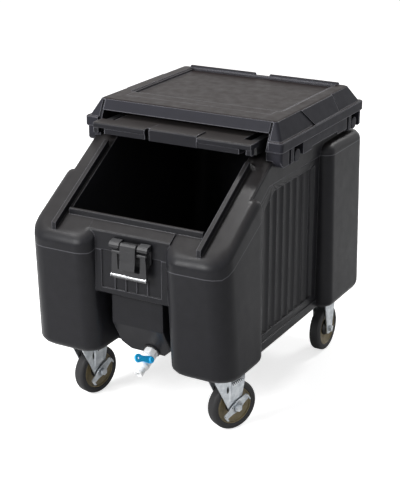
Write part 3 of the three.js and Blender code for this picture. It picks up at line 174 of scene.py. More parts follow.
def between(tree, value, low, high):
    above = mathOf(tree, "GREATER_THAN", value, low)
    return mathOf(tree, "MULTIPLY", above, mathOf(tree, "LESS_THAN", value, high))


# Moulded lines, painted paler as a highlight along them: where they lie, in metres
seamPlaces = {
    "mould": (0.448, 0.53, -0.372, -0.2),  # the parting line: height, slope at the sides, turn and end
    "panel": (0.598, -0.205, 0.157),  # the border of the fluted side panels: height and ends
    "panelTurn": (-0.125, 0.66),  # where that border turns down to the front, and its slope
    "pillow": (0.600, 0.160),  # the line under the rounded tops of the rear columns: height and front end
    "side": 0.243,
    "front": -0.335,  # what is nearer the front than this, or further out than the sides, is outside
    "rear": 0.378,
    "tray": (-0.032, 0.203),  # the fine border of the tray: front and sides
    "trayEnds": (-0.034, 0.300),
    "trayLow": 0.735,
    "widthMm": 1.5,
}


def lineAtHeight(tree, y, z, height, turnY, slope, side):
    # A line at one height on one side of turnY, that climbs or falls by the slope on the other.
    beyond = mathOf(tree, side, mathOf(tree, "SUBTRACT", y, turnY), 0.0)
    climb = mathOf(tree, "MULTIPLY", beyond, slope)
    offset = mathOf(tree, "SUBTRACT", mathOf(tree, "SUBTRACT", z, height), climb)
    return lineMask(tree, offset, seamPlaces["widthMm"])


def bodySeams(tree, place):
    spot = seamPlaces
    parts = addNode(tree, "ShaderNodeSeparateXYZ", links={"Vector": place})
    x, y, z = (parts.outputs[axis] for axis in "XYZ")
    aside = mathOf(tree, "GREATER_THAN", mathOf(tree, "ABSOLUTE", x), spot["side"])
    outside = mathOf(tree, "MAXIMUM", aside, mathOf(tree, "LESS_THAN", y, spot["front"]))
    behind = mathOf(tree, "MAXIMUM", aside, mathOf(tree, "GREATER_THAN", y, spot["rear"]))

    height, slope, turnY, end = spot["mould"]
    mould = lineAtHeight(tree, y, z, height, turnY, slope, "MAXIMUM")
    mould = mathOf(tree, "MULTIPLY", mould, mathOf(tree, "LESS_THAN", y, end))
    mould = mathOf(tree, "MULTIPLY", mould, outside)

    height, front, rear = spot["panel"]
    turnY, slope = spot["panelTurn"]
    panel = lineAtHeight(tree, y, z, height, turnY, slope, "MINIMUM")
    panel = mathOf(tree, "MULTIPLY", panel, between(tree, y, front, rear))
    panel = mathOf(tree, "MULTIPLY", panel, aside)

    height, front = spot["pillow"]
    pillow = lineMask(tree, mathOf(tree, "SUBTRACT", z, height), spot["widthMm"])
    pillow = mathOf(tree, "MULTIPLY", pillow, mathOf(tree, "GREATER_THAN", y, front))
    pillow = mathOf(tree, "MULTIPLY", pillow, behind)
    return mathOf(tree, "MAXIMUM", mould, mathOf(tree, "MAXIMUM", panel, pillow))


def coverSeams(tree, place):
    spot = seamPlaces
    parts = addNode(tree, "ShaderNodeSeparateXYZ", links={"Vector": place})
    x, y, z = (parts.outputs[axis] for axis in "XYZ")
    across = mathOf(tree, "ABSOLUTE", x)
    frontY, sideX = spot["tray"]
    front = lineMask(tree, mathOf(tree, "SUBTRACT", y, frontY), spot["widthMm"])
    front = mathOf(tree, "MULTIPLY", front, mathOf(tree, "LESS_THAN", across, sideX))
    side = lineMask(tree, mathOf(tree, "SUBTRACT", across, sideX), spot["widthMm"])
    side = mathOf(tree, "MULTIPLY", side, between(tree, y, *spot["trayEnds"]))
    above = mathOf(tree, "GREATER_THAN", z, spot["trayLow"])
    return mathOf(tree, "MULTIPLY", mathOf(tree, "MAXIMUM", front, side), above)


def mouldedPolyethylene(name, color, dustAndSheen, seams=None, dustAndSheenColor=None, gloss=0.1, edgeHighlight=0.3):
    # Rotationally moulded polyethylene: dark, waxy sheen with slow waves, dust and a painted sheen where it faces
    # up, a painted highlight and less roughness along its edges and moulded lines, and painted shade in its
    # creases.
    look = mouldedLook
    material, tree, shader = newMaterial(name)
    place = addNode(tree, "ShaderNodeTexCoord").outputs["Object"]
    normal = addNode(tree, "ShaderNodeNewGeometry").outputs["Normal"]
    facing = addNode(tree, "ShaderNodeSeparateXYZ", links={"Vector": normal}).outputs["Z"]
    mottle, grain, ripple = (noiseAt(tree, place, *look[noise]) for noise in ("mottle", "grain", "ripple"))

    plain, scuffed = hexToLinear(color), hexToLinear(look["scuffColor"])
    patches = rampBetween(tree, mottle, *look["scuffSpan"], plain, scuffed)
    base = mixColors(tree, look["scuffShare"], plain, patches)
    # dust and a painted sheen where the surface faces up, in patches
    upward = rangeOf(tree, facing, *look["dustAndSheenFacing"], 0.0, dustAndSheen)
    dustAndSheenShare = mathOf(tree, "MULTIPLY", upward, rangeOf(tree, mottle, *noiseSpan, *look["dustAndSheenPatches"]))
    base = mixColors(tree, dustAndSheenShare, base, hexToLinear(dustAndSheenColor or look["dustAndSheenColor"]))

    rounded = roundedNormal(tree, look["edgeMm"], look["samples"])
    bend = addNode(tree, "ShaderNodeVectorMath", {"operation": "DOT_PRODUCT"})
    feed(tree, bend.inputs[0], rounded)
    feed(tree, bend.inputs[1], normal)
    corners = rangeOf(tree, bend.outputs["Value"], *look["edgeBend"], 0.0, edgeHighlight)
    settings = {"samples": look["samples"], "Distance": look["creaseMm"] / 1000}
    nearby = addNode(tree, "ShaderNodeAmbientOcclusion", settings).outputs["AO"]
    openness = rangeOf(tree, nearby, *look["creaseOpen"], 0.0, 1.0)
    paintedHighlight = mathOf(tree, "MULTIPLY", corners, openness)
    if seams:
        paintedSeamHighlight = mathOf(tree, "MULTIPLY", seams(tree, place), look["seamHighlight"])
        paintedHighlight = mathOf(tree, "MAXIMUM", paintedHighlight, paintedSeamHighlight)
    # painted highlight: a paler colour along convex edges and moulded lines
    base = mixColors(tree, paintedHighlight, base, hexToLinear(look["edgeHighlightColor"]))
    # painted shade: darker where other surfaces are near, in creases and gaps
    depth = rangeOf(tree, openness, 0.0, 1.0, look["creaseShade"], 1.0)
    feed(tree, shader.inputs["Base Color"], mixColors(tree, 1.0, base, depth, "MULTIPLY"))

    rough = rangeOf(tree, mottle, *noiseSpan, *look["roughness"])
    fullHighlight, left = look["highlightRoughness"]
    polish = rangeOf(tree, paintedHighlight, 0.0, fullHighlight, 1.0, left)
    feed(tree, shader.inputs["Roughness"], mathOf(tree, "MULTIPLY", rough, polish))
    shader.inputs["Specular IOR Level"].default_value = gloss
    fine = bumpOf(tree, grain, look["grainBump"], rounded)
    feed(tree, shader.inputs["Normal"], bumpOf(tree, ripple, look["rippleBump"], fine))
    return material


fittingLook = {
    "flow": (9.0, 3.0),  # noises: size in mm and detail
    "flowSpan": (0.35, 0.75),
    "grain": (1.2, 2.0),
    "roughSpread": (0.04, 0.06),
    "edgeMm": 0.8,
    "bump": (0.2, 0.0001),
    "ior": 1.53,
}


def mouldedNylon(name, color, roughness, shade="#000000", depth=0.15):
    # Injection-moulded nylon: smooth half gloss with faint flow shading.
    look = fittingLook
    material, tree, shader = newMaterial(name)
    place = addNode(tree, "ShaderNodeTexCoord").outputs["Object"]
    flow, grain = (noiseAt(tree, place, *look[noise]) for noise in ("flow", "grain"))
    share = rangeOf(tree, flow, *look["flowSpan"], 0.0, depth)
    feed(tree, shader.inputs["Base Color"], mixColors(tree, share, hexToLinear(color), hexToLinear(shade)))
    under, over = look["roughSpread"]
    rough = rangeOf(tree, flow, *noiseSpan, roughness - under, roughness + over)
    feed(tree, shader.inputs["Roughness"], rough)
    shader.inputs["IOR"].default_value = look["ior"]
    rounded = roundedNormal(tree, look["edgeMm"])
    feed(tree, shader.inputs["Normal"], bumpOf(tree, grain, look["bump"], rounded))
    return material


rubberLook = {
    "bloomColor": "#292829",
    "bloom": (14.0, 4.0),
    "bloomSpan": (0.35, 0.75),
    "grain": (1.5, 2.0),
    "roughSpread": 0.15,
    "bump": (0.4, 0.0002),
    "ior": 1.52,
}


def mouldedRubber(name, color, roughness=0.55):
    # Solid rubber: dull and dark, with a little grey bloom.
    look = rubberLook
    material, tree, shader = newMaterial(name)
    place = addNode(tree, "ShaderNodeTexCoord").outputs["Object"]
    bloom, grain = (noiseAt(tree, place, *look[noise]) for noise in ("bloom", "grain"))
    tones = hexToLinear(color), hexToLinear(look["bloomColor"])
    colors = rampBetween(tree, bloom, *look["bloomSpan"], *tones)
    feed(tree, shader.inputs["Base Color"], colors)
    rough = rangeOf(tree, bloom, *noiseSpan, roughness, roughness + look["roughSpread"])
    feed(tree, shader.inputs["Roughness"], rough)
    shader.inputs["IOR"].default_value = look["ior"]
    feed(tree, shader.inputs["Normal"], bumpOf(tree, grain, look["bump"]))
    return material


steelLook = {
    "cloudDetail": 3.0,
    "cloudSpan": (0.3, 0.75),
    "roughSpread": 0.14,
    "edgeMm": 0.6,
    "bump": (0.15, 0.0003),
}


def brightSteel(name, color, roughness, cloudMm, dark):
    # Stamped, plated or drawn steel: bright, with cloudy patches of a darker tone.
    look = steelLook
    material, tree, shader = newMaterial(name)
    place = addNode(tree, "ShaderNodeTexCoord").outputs["Object"]
    cloud = noiseAt(tree, place, cloudMm, look["cloudDetail"])
    colors = rampBetween(tree, cloud, *look["cloudSpan"], hexToLinear(color), hexToLinear(dark))
    feed(tree, shader.inputs["Base Color"], colors)
    shader.inputs["Metallic"].default_value = 1.0
    rough = rangeOf(tree, cloud, *noiseSpan, roughness, roughness + look["roughSpread"])
    feed(tree, shader.inputs["Roughness"], rough)
    rounded = roundedNormal(tree, look["edgeMm"])
    feed(tree, shader.inputs["Normal"], bumpOf(tree, cloud, look["bump"], rounded))
    return material


materialOfSlot = {
    "bin_plastic": mouldedPolyethylene(
        "moulded polyethylene, charcoal", mouldedLook["binColor"], 0.34, bodySeams, gloss=0.16
    ),
    "cover_plastic": mouldedPolyethylene(
        "moulded polyethylene, cover", "#303036", 0.85, coverSeams, "#1f1713", gloss=0.05, edgeHighlight=0.65
    ),
    "lid_plastic": mouldedPolyethylene("moulded polyethylene, lid", "#222226", 0.55, gloss=0.12, edgeHighlight=0.6),
    "shelf_plastic": mouldedPolyethylene("moulded polyethylene, shelf", "#b9b8b2", 0.1),
    "track_plastic": mouldedNylon("moulded acetal, black track", "#1c1c1e", 0.45),
    "latch_plastic": mouldedNylon("moulded nylon, black latch", "#131316", 0.48, "#222226", 0.4),
    "white_nylon": mouldedNylon("moulded nylon, white valve", "#fafbfc", 0.34, "#eceff1", 0.5),
    "lever_plastic": mouldedNylon("moulded nylon, blue lever", "#2ac2ff", 0.34, "#16a6fb", 0.3),
    "tyre_rubber": mouldedRubber("moulded rubber, grey tyre", "#1b1b1d"),
    "gasket_rubber": mouldedRubber("nitrile rubber, gasket", "#161617", 0.6),
    "wheel_plastic": mouldedNylon("moulded polypropylene, olive wheel", "#7d7050", 0.42, "#5a5038", 0.6),
    "zinc_steel": brightSteel("zinc-plated steel, stamped", "#e4e8eb", 0.3, 16.0, "#b2b8be"),
    "bright_steel": brightSteel("stainless steel, drawn bar", "#b9babc", 0.26, 6.0, "#97999b"),
}
capMaterial = mouldedNylon("moulded nylon, black hub cap", "#191a1a", 0.45)
springMaterial = brightSteel("spring steel, oiled wire", "#3a3a3c", 0.35, 6.0, "#202022")
print("materials made")


# Shading of the CAD nodes: smooth over shallow angles, sharp over steep ones

shadingLook = {"smoothBelow": 34, "weldMm": 0.01, "weight": 80, "bevelAbove": 40, "bevelSegments": 2}


def makeSmoothGroup():
    look = shadingLook
    group = bpy.data.node_groups.new("smooth shallow angles", "GeometryNodeTree")
    group.is_modifier = True
    group.interface.new_socket("Geometry", in_out="INPUT", socket_type="NodeSocketGeometry")
    group.interface.new_socket("Geometry", in_out="OUTPUT", socket_type="NodeSocketGeometry")
    start = addNode(group, "NodeGroupInput").outputs[0]
    settings = {"Distance": look["weldMm"] / 1000}
    weld = addNode(group, "GeometryNodeMergeByDistance", settings, {"Geometry": start}).outputs[0]
    settings = {"domain": "FACE", "Shade Smooth": True}
    faces = addNode(group, "GeometryNodeSetShadeSmooth", settings, {"Geometry": weld}).outputs[0]
    angle = addNode(group, "GeometryNodeInputMeshEdgeAngle").outputs["Unsigned Angle"]
    settings = {"data_type": "FLOAT", "operation": "LESS_THAN"}
    shallow = addNode(group, "FunctionNodeCompare", settings, {"A": angle})
    shallow.inputs["B"].default_value = math.radians(look["smoothBelow"])
    links = {"Geometry": faces, "Shade Smooth": shallow.outputs[0]}
    edges = addNode(group, "GeometryNodeSetShadeSmooth", {"domain": "EDGE"}, links)
    addNode(group, "NodeGroupOutput", links={"Geometry": edges.outputs[0]})
    return group


smoothGroup = makeSmoothGroup()


def smoothShading(piece):
    modifier = piece.modifiers.new("smooth", "NODES")
    modifier.node_group = smoothGroup
    weighted = piece.modifiers.new("weighted", "WEIGHTED_NORMAL")
    weighted.keep_sharp = True
    weighted.weight = shadingLook["weight"]


slotOfNode = {part["node"]: part["material_slot"] for part in frame["record"]["subparts"]}
for name, node in nodes.items():
    node.data.materials.clear()
    node.data.materials.append(materialOfSlot[slotOfNode[name]])
    smoothShading(node)
print("CAD nodes finished")


# Mesh making: every piece is drawn in millimetres in its own frame, then placed by a matrix in metres

def placeAt(origin, sideways, upward=(0, 0, 1)):
    x, z = Vector(sideways).normalized(), Vector(upward).normalized()
    turn = Matrix((x, z.cross(x), z)).transposed().to_4x4()
    return Matrix.Translation(origin) @ turn @ Matrix.Scale(0.001, 4)


def roundedOutline(corners, steps=5):
    # Each corner is (a, b, radius); the arc takes the corner's place.
    points = []
    for index, (a, b, radius) in enumerate(corners):
        corner = Vector((a, b))
        if radius <= 0:
            points.append((a, b))
            continue
        before = (Vector(corners[index - 1][:2]) - corner).normalized()
        after = (Vector(corners[(index + 1) % len(corners)][:2]) - corner).normalized()
        half = before.angle(after) / 2
        middle = corner + (before + after).normalized() * (radius / math.sin(half))
        first = corner + before * (radius / math.tan(half)) - middle
        last = corner + after * (radius / math.tan(half)) - middle
        angle = math.atan2(first.y, first.x)
        sweep = (math.atan2(last.y, last.x) - angle + math.pi) % (2 * math.pi) - math.pi
        for step in range(steps + 1):
            now = angle + sweep * step / steps
            points.append((middle.x + radius * math.cos(now), middle.y + radius * math.sin(now)))
    return points


def ovalOutline(a, b, halfA, halfB, count=28):
    turns = [2 * math.pi * step / count for step in range(count)]
    return [(a + halfA * math.cos(turn), b + halfB * math.sin(turn)) for turn in turns]


def spin(mesh, profile, segments, axis="x", turn=None):
    # A closed profile of (along, radius) points, turned about the axis.
    place = turn or Matrix.Identity(4)
    rings = []
    for step in range(segments):
        angle = 2 * math.pi * step / segments
        ring = []
        for along, radius in profile:
            flat = (radius * math.cos(angle), radius * math.sin(angle))
            ring.append(mesh.verts.new(place @ Vector((along, *flat) if axis == "x" else (*flat, along))))
        rings.append(ring)
    for ring, after in zip(rings, rings[1:] + rings[:1]):
        for index in range(len(profile)):
            following = (index + 1) % len(profile)
            mesh.faces.new((ring[index], ring[following], after[following], after[index]))


axisOrder = {"x": (2, 0, 1), "y": (0, 2, 1), "z": (0, 1, 2)}  # where (a, b, along) go in (x, y, z)


def stamp(mesh, outer, holes, low, high, axis="x", turn=None):
    # A flat plate cut to an outline with holes, from low to high along the axis.
    loops = [outer, *holes]
    points = [point for loop in loops for point in loop]
    turn = turn or Matrix.Identity(4)
    sides = []
    for along in (low, high):
        placed = [Vector([(a, b, along)[slot] for slot in axisOrder[axis]]) for a, b in points]
        sides.append([mesh.verts.new(turn @ point) for point in placed])
    for triangle in tessellate_polygon([[Vector((a, b, 0)) for a, b in loop] for loop in loops]):
        for side in sides:
            mesh.faces.new([side[index] for index in triangle])
    start = 0
    for loop in loops:
        for index in range(len(loop)):
            one, two = start + index, start + (index + 1) % len(loop)
            mesh.faces.new((sides[0][one], sides[0][two], sides[1][two], sides[1][one]))
        start += len(loop)


def loft(mesh, sections, turn=None):
    # Closed rings of points joined one to the next, with both ends filled.
    turn = turn or Matrix.Identity(4)
    rings = [[mesh.verts.new(turn @ Vector(point)) for point in section] for section in sections]
    for ring, after in zip(rings, rings[1:]):
        for index in range(len(ring)):
            following = (index + 1) % len(ring)
            mesh.faces.new((ring[index], ring[following], after[following], after[index]))
    mesh.faces.new(rings[0])
    mesh.faces.new(rings[-1])


def makePiece(name, mesh, place, slotName, body, replaced=(), edgeMm=0.0, material=None):
    bmesh.ops.recalc_face_normals(mesh, faces=mesh.faces)
    mesh.transform(place)
    data = bpy.data.meshes.new(name)
    mesh.to_mesh(data)
    mesh.free()
    data.materials.append(material or materialOfSlot[slotName])
    piece = bpy.data.objects.new(name, data)
    bpy.context.scene.collection.objects.link(piece)
    if edgeMm:
        edges = piece.modifiers.new("rounded edges", "BEVEL")
        edges.width = edgeMm / 1000
        edges.segments = shadingLook["bevelSegments"]
        edges.limit_method = "ANGLE"
        edges.angle_limit = math.radians(shadingLook["bevelAbove"])
    smoothShading(piece)
    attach(piece, body)
    if replaced:
        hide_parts(*replaced)


jointOf = {joint["name"]: joint for joint in frame["joints"]}


def wheelPlace(name):
    # The wheel's own frame: X along the axle towards the nut, Y to the rear, Z up.
    joint = jointOf[f"roll_{name}"]
    sideways = Vector(joint["axis"])
    if name == "rear_left":
        sideways = -sideways  # the rear left caster is the right one turned half round
    return placeAt(joint["pos_m"], sideways)


def makeCasterPiece(kind, ending, name, mesh, slotName, body, edgeMm=0.0, material=None):
    # A piece with an ending to its name takes the place of the CAD node of its kind.
    node = f"{kind}_{name}"
    label, replaced = (f"{node}_{ending}", (node,)) if ending else (node, ())
    makePiece(label, mesh, wheelPlace(name), slotName, body, replaced, edgeMm, material)


def bothSides(side):
    # The other side is the mirror image of this one, in the opposite order.
    return [*side, *[(-along, other, corner) for along, other, corner in reversed(side)]]


# Tyres: solid rubber with round shoulders and a moulded line on each side

tyreSize = {
    "radius": 63.5,
    "halfWidth": 15.0,
    "seat": 47.6,
    "slope": (2.0, 1.8),  # the sloped corner at the rim, across and outwards
    "slopeCorners": (0.5, 1.2),
    "shoulder": 7.5,
    "line": 53.6,  # radius of the moulded line on the sidewall
    "lineWidth": 1.4,
    "lineDepth": 0.5,
    "lineSlope": 0.3,
    "segments": 96,
}


def makeTyre(name):
    size = tyreSize
    half, seat, line = size["halfWidth"], size["seat"], size["line"]
    width, deep, slope = size["lineWidth"], half - size["lineDepth"], size["lineSlope"]
    side = [
        (half - size["slope"][0], seat, size["slopeCorners"][0]),
        (half, seat + size["slope"][1], size["slopeCorners"][1]),
        (half, line, 0),
        (deep, line + slope, 0),
        (deep, line + width - slope, 0),
        (half, line + width, 0),
        (half, size["radius"], size["shoulder"]),
    ]
    mesh = bmesh.new()
    spin(mesh, roundedOutline(bothSides(side), 6), size["segments"])
    makeCasterPiece("tyre", "moulded", name, mesh, "tyre_rubber", f"wheel_{name}")


# Wheel cores: a dished web with a thin raised ring at its rim and a plain hub

coreSize = {
    "side": (  # half width, radius and corner: bore, hub, foot and turn of the web, dish, rim ring
        (17.0, 5.3, 0),
        (17.0, 14.0, 1.2),
        (6.0, 15.5, 2.0),
        (4.5, 29.0, 5.0),
        (10.0, 43.6, 1.5),
        (13.4, 44.8, 0.5),
        (13.4, 47.4, 0.5),
    ),
    "segments": 96,
    "cap": ((4.7, 14.2, 0), (15.5, 14.2, 0), (15.5, 17.5, 2.0), (8.0, 21.5, 1.5), (4.7, 21.5, 0)),
    "capSegments": 48,
}


def makeCore(name):
    mesh = bmesh.new()
    spin(mesh, roundedOutline(bothSides(coreSize["side"]), 4), coreSize["segments"])
    makeCasterPiece("wheel_core", "dished", name, mesh, "wheel_plastic", f"wheel_{name}")


def makeHubCaps(name):
    # Black rings on both sides of the hub, round the bore.
    mesh = bmesh.new()
    for side in (-1, 1):
        profile = [(side * along, radius, corner) for along, radius, corner in coreSize["cap"]]
        spin(mesh, roundedOutline(profile, 3), coreSize["capSegments"])
    makeCasterPiece("hub_caps", "", name, mesh, "tyre_rubber", f"wheel_{name}", material=capMaterial)


# Swivel forks: one bent sheet with a wide V on each side, a raised crease and an oval slot beside it

forkSize = {
    "inner": 17.3,
    "outer": 20.3,
    "crownTop": 96.9,
    "bend": 7.0,
    "crownY": (-67.0, 26.0),
    "leg": (  # y, height over the axle and corner, down the front and up the rear
        (-62.0, 78.0, 6.0),
        (-24.0, 0.0, 5.0),
        (-16.0, -12.0, 5.0),
        (8.0, -11.0, 7.0),
        (13.0, 6.0, 7.0),
        (24.0, 62.0, 5.0),
    ),
    "legSteps": 5,
    "slot": (-25.0, 50.0, 3.2, 9.5),  # y, height and half sizes
    "crease": (  # height, width and rise
        (86.0, 7.0, 2.2),
        (70.0, 8.0, 2.2),
        (50.0, 8.6, 2.2),
        (30.0, 9.6, 2.2),
        (21.0, 9.0, 2.2),
        (17.0, 4.0, 0.4),
    ),
    "creaseY": -17.5,
    "creaseSunk": 0.5,  # how deep its feet stand in the sheet
    "creaseRound": 0.7,  # less is squarer
    "edgeMm": 0.6,
}


def crownSheet(mesh, size):
    # The bent top of a fork: one sheet across and round both corners.
    inner, outer, bend, high = size["inner"], size["outer"], size["bend"], size["crownTop"]
    sheet, low = outer - inner, high - bend
    over = [(-outer, low, 0), (-outer, high, bend), (outer, high, bend), (outer, low, 0)]
    half = [(inner, low, 0), (inner, high - sheet, bend - sheet)]
    stamp(mesh, roundedOutline(over + bothSides(half)), [], *size["crownY"], axis="y")


def forkLegs(mesh, size, leg, holes):
    low, high = size["inner"], size["outer"]
    front, rear = size["crownY"]
    top = size["crownTop"] - size["bend"]
    outline = [(front, top, 0), *leg, (rear, top, 0)]
    for ends in ((-high, -low), (low, high)):
        stamp(mesh, roundedOutline(outline, size["legSteps"]), holes, *ends)


def creaseSections(side, size, steps=8):
    sections = []
    for height, width, rise in size["crease"]:
        arc = []
        for step in range(steps + 1):
            turn = math.pi * step / steps
            lift = (rise + size["creaseSunk"]) * math.sin(turn) ** size["creaseRound"]
            y = size["creaseY"] - width / 2 * math.cos(turn)
            arc.append((side * (size["outer"] - size["creaseSunk"] + lift), y, height))
        sections.append(arc)
    return sections


def makeSwivelFork(name):
    size = forkSize
    mesh = bmesh.new()
    forkLegs(mesh, size, size["leg"], [ovalOutline(*size["slot"])])
    for side in (-1, 1):
        loft(mesh, creaseSections(side, size))
    crownSheet(mesh, size)
    makeCasterPiece("fork", "pressed", name, mesh, "zinc_steel", f"swivel_{name}", size["edgeMm"])


springSize = {
    "start": (24.8, -14.0, 65.0),
    "end": (24.8, 15.0, 73.0),
    "turns": 6,
    "turnSteps": 16,
    "coilRadius": 3.0,
    "wireRadius": 0.9,
    "wireSides": 8,
}


def makeBrakeSpring(name):
    # The small coil that holds the brake in its two places, beside the top of the fork.
    size = springSize
    start, end = Vector(size["start"]), Vector(size["end"])
    along = (end - start).normalized()
    one = Vector((1, 0, 0))
    two = along.cross(one)
    path = []
    steps = size["turns"] * size["turnSteps"]
    for step in range(steps + 1):
        share = step / steps
        turn = 2 * math.pi * size["turns"] * share
        coil = size["coilRadius"] * (math.cos(turn) * one + math.sin(turn) * two)
        path.append(start.lerp(end, share) + coil)
    ring = [2 * math.pi * count / size["wireSides"] for count in range(size["wireSides"])]
    wire = size["wireRadius"]
    sections = []
    for index, point in enumerate(path):
        ahead = (path[min(index + 1, len(path) - 1)] - path[max(index - 1, 0)]).normalized()
        across = ahead.cross(along).normalized()
        other = ahead.cross(across)
        sections.append([point + wire * (math.cos(t) * across + math.sin(t) * other) for t in ring])
    mesh = bmesh.new()
    loft(mesh, sections)
    makeCasterPiece("brake_spring", "", name, mesh, "zinc_steel", f"swivel_{name}", material=springMaterial)


# Brake rockers: a hub plate with an arm each way, each arm's end curled outwards

rockerSize = {
    "tilt": 34.0,
    "start": 23.4,
    "thickness": 2.6,
    "hub": ((-14, -9, 6), (14, -9, 6), (16, 13, 6), (-16, 13, 6)),  # y, z and corner
    "bore": 5.4,
    "arms": ((1, 34.0, (-4.0, 12.0)), (-1, 37.0, (-5.0, 10.0))),  # way, straight length, edges across
    "waist": ((4.0, 1.6), (12.0, 1.35), (20.0, 1.1)),  # distance from the axle, and how much wider there
    "straightEnd": 4.0,
    "armCurl": 4.2,  # radius of the curled end
    "curlTurn": 165.0,
    "curlSteps": 12,
    "edgeMm": 0.5,
}


def armSections(way, straight, edges, size):
    thick, curl, steps = size["thickness"], size["armCurl"], size["curlSteps"]
    level = size["start"] + thick / 2
    stations = [*size["waist"], (straight - size["straightEnd"], 1.0), (straight, 1.0)]
    rows = [(reach, level, 0.0, wider) for reach, wider in stations]
    for step in range(1, steps + 1):
        turn = math.radians(size["curlTurn"]) * step / steps
        rows.append((straight + curl * math.sin(turn), level + curl * (1 - math.cos(turn)), turn, 1.0))
    sections = []
    for reach, height, turn, wider in rows:
        normal = (-math.sin(turn), math.cos(turn))
        middle = (edges[0] + edges[1]) / 2
        half = (edges[1] - edges[0]) / 2 * wider
        ring = []
        for across, through in ((-half, -1), (half, -1), (half, 1), (-half, 1)):
            y = reach + normal[0] * through * thick / 2
            x = height + normal[1] * through * thick / 2
            ring.append((x, way * y, middle / wider + across))
        sections.append(ring)
    return sections


def makeBrakeRocker(name):
    size = rockerSize
    start, bore = size["start"], size["bore"]
    tilt = Matrix.Rotation(math.radians(size["tilt"]), 4, "X")
    mesh = bmesh.new()
    hole = ovalOutline(0, 0, bore, bore)
    stamp(mesh, roundedOutline(size["hub"], 6), [hole], start, start + size["thickness"], turn=tilt)
    for way, straight, edges in size["arms"]:
        loft(mesh, armSections(way, straight, edges, size), turn=tilt)
    makeCasterPiece("brake", "curled", name, mesh, "zinc_steel", f"brake_{name}", size["edgeMm"])


# Rigid forks: straight tapered legs with rolled edges under a flat plate

rigidForkSize = {
    "inner": 17.3,
    "outer": 20.3,
    "plate": (109.2, 112.2, 37.0, 48.0, 8.0),  # low, high, half sizes and corner
    "crownTop": 109.2,
    "bend": 6.0,
    "crownY": (-34.0, 34.0),
    "leg": ((-32.0, 80.0, 12.0), (-17.0, 2.0, 6.0), (-15.0, -15.0, 13.0)),  # down the front half
    "legSteps": 8,
    "edgeMm": 0.6,
}


def makeRigidFork(name):
    size = rigidForkSize
    low, high, halfX, halfY, corner = size["plate"]
    mesh = bmesh.new()
    forkLegs(mesh, size, bothSides(size["leg"]), [])
    crownSheet(mesh, size)
    corners = ((-halfX, -halfY), (halfX, -halfY), (halfX, halfY), (-halfX, halfY))
    stamp(mesh, roundedOutline([(*place, corner) for place in corners]), [], low, high, axis="z")
    makeCasterPiece("fork", "pressed", name, mesh, "zinc_steel", "bin", size["edgeMm"])


# Axle nuts: six flats with both faces chamfered, on the threaded end of the axle

nutSize = {
    "flats": 16.0,
    "thickness": 7.0,
    "chamfer": 0.9,
    "frontStart": 27.0,
    "rearStart": 20.6,
    "bore": 5.2,
}


def makeAxleNut(name):
    size = nutSize
    swivels = name.startswith("front")
    start = size["frontStart"] if swivels else size["rearStart"]
    corner, bore = size["flats"] / math.sqrt(3), size["bore"]
    turns = [math.pi * (2 * count + 1) / 6 for count in range(6)]
    mesh = bmesh.new()
    hexagon = [(corner * math.cos(turn), corner * math.sin(turn)) for turn in turns]
    stamp(mesh, hexagon, [ovalOutline(0, 0, bore, bore)], start, start + size["thickness"])
    body = f"swivel_{name}" if swivels else "bin"
    makeCasterPiece("axle_nut", "chamfered", name, mesh, "zinc_steel", body, size["chamfer"])


for name in ("front_left", "front_right", "rear_left", "rear_right"):
    makeTyre(name)
    makeCore(name)
    makeHubCaps(name)
    makeAxleNut(name)
for name in ("front_left", "front_right"):
    makeSwivelFork(name)
    makeBrakeSpring(name)
    makeBrakeRocker(name)
for name in ("rear_left", "rear_right"):
    makeRigidFork(name)
print("casters finished")


# Drain valve: a fluted nut, a round body and spout, and the blue lever, along the valve's own axis

valveSize = {
    "place": (0.022, -0.29185, 0.191),  # metres; the rest is in millimetres
    "axis": (0.0, -0.8660254, -0.5),
    "nut": (3.6, 20.6, 18.0, 8, 2.5),  # start, end, radius over the ridges, number of flats, corner
    "bore": 9.3,
    "body": (
        (20.9, 5.5, 0),
        (20.9, 16.0, 1.2),
        (24.5, 16.0, 1.2),
        (26.0, 14.6, 1.5),
        (43.5, 15.2, 2.0),
        (45.9, 14.4, 0),
    ),
    "spout": (
        (46.2, 5.5, 0),
        (46.2, 14.4, 0.6),
        (50.5, 14.6, 3.0),
        (58.0, 11.4, 4.0),
        (69.0, 10.6, 1.5),
        (70.5, 11.3, 1.0),
        (75.9, 10.6, 1.6),
        (76.2, 7.6, 0.6),
        (72.0, 5.6, 1.0),
    ),
    "segments": 64,
    "nutEdgeMm": 1.4,
    "ballCentre": 33.4,
    "stemTurn": -60.0,
    "leverLean": 32.0,
}


def valvePlace():
    return placeAt(valveSize["place"], (1, 0, 0), valveSize["axis"])


def makeDrainNut():
    start, end, radius, flats, corner = valveSize["nut"]
    corners = []
    for count in range(flats):
        turn = 2 * math.pi * (count + 0.5) / flats
        corners.append((radius * math.cos(turn), radius * math.sin(turn), corner))
    bore, edge = valveSize["bore"], valveSize["nutEdgeMm"]
    mesh = bmesh.new()
    stamp(mesh, roundedOutline(corners, 4), [ovalOutline(0, 0, bore, bore)], start, end, axis="z")
    makePiece("drain_nut_moulded", mesh, valvePlace(), "white_nylon", "bin", ("drain_nut",), edge)


def makeValveBody():
    for label, node in (("body", "valve_body"), ("spout", "valve_spout")):
        mesh = bmesh.new()
        spin(mesh, roundedOutline(valveSize[label]), valveSize["segments"], axis="z")
        makePiece(f"{node}_moulded", mesh, valvePlace(), "white_nylon", "bin", (node,))


leverSize = {
    "low": 17.0,
    "thickness": 4.6,
    "ring": (-38.0, 10.6, 3.0),  # centre along the arm, outer and bore radius
    "ringTurn": 52.0,  # where the arm meets the ring
    "ringSteps": 24,
    "arm": (  # along, half width and corner of the neck, the shoulder and the hub
        (-24.0, 6.8, 9.0),
        (-9.0, 8.8, 6.0),
        (6.8, 8.8, 7.0),
    ),
    "seat": 3.3,
    "boss": ((21.0, 0.01, 0), (21.0, 7.6, 0), (24.6, 6.6, 1.6), (24.6, 0.01, 0)),  # cap over the stem's head
    "bossSegments": 40,
    "edgeMm": 1.1,
}


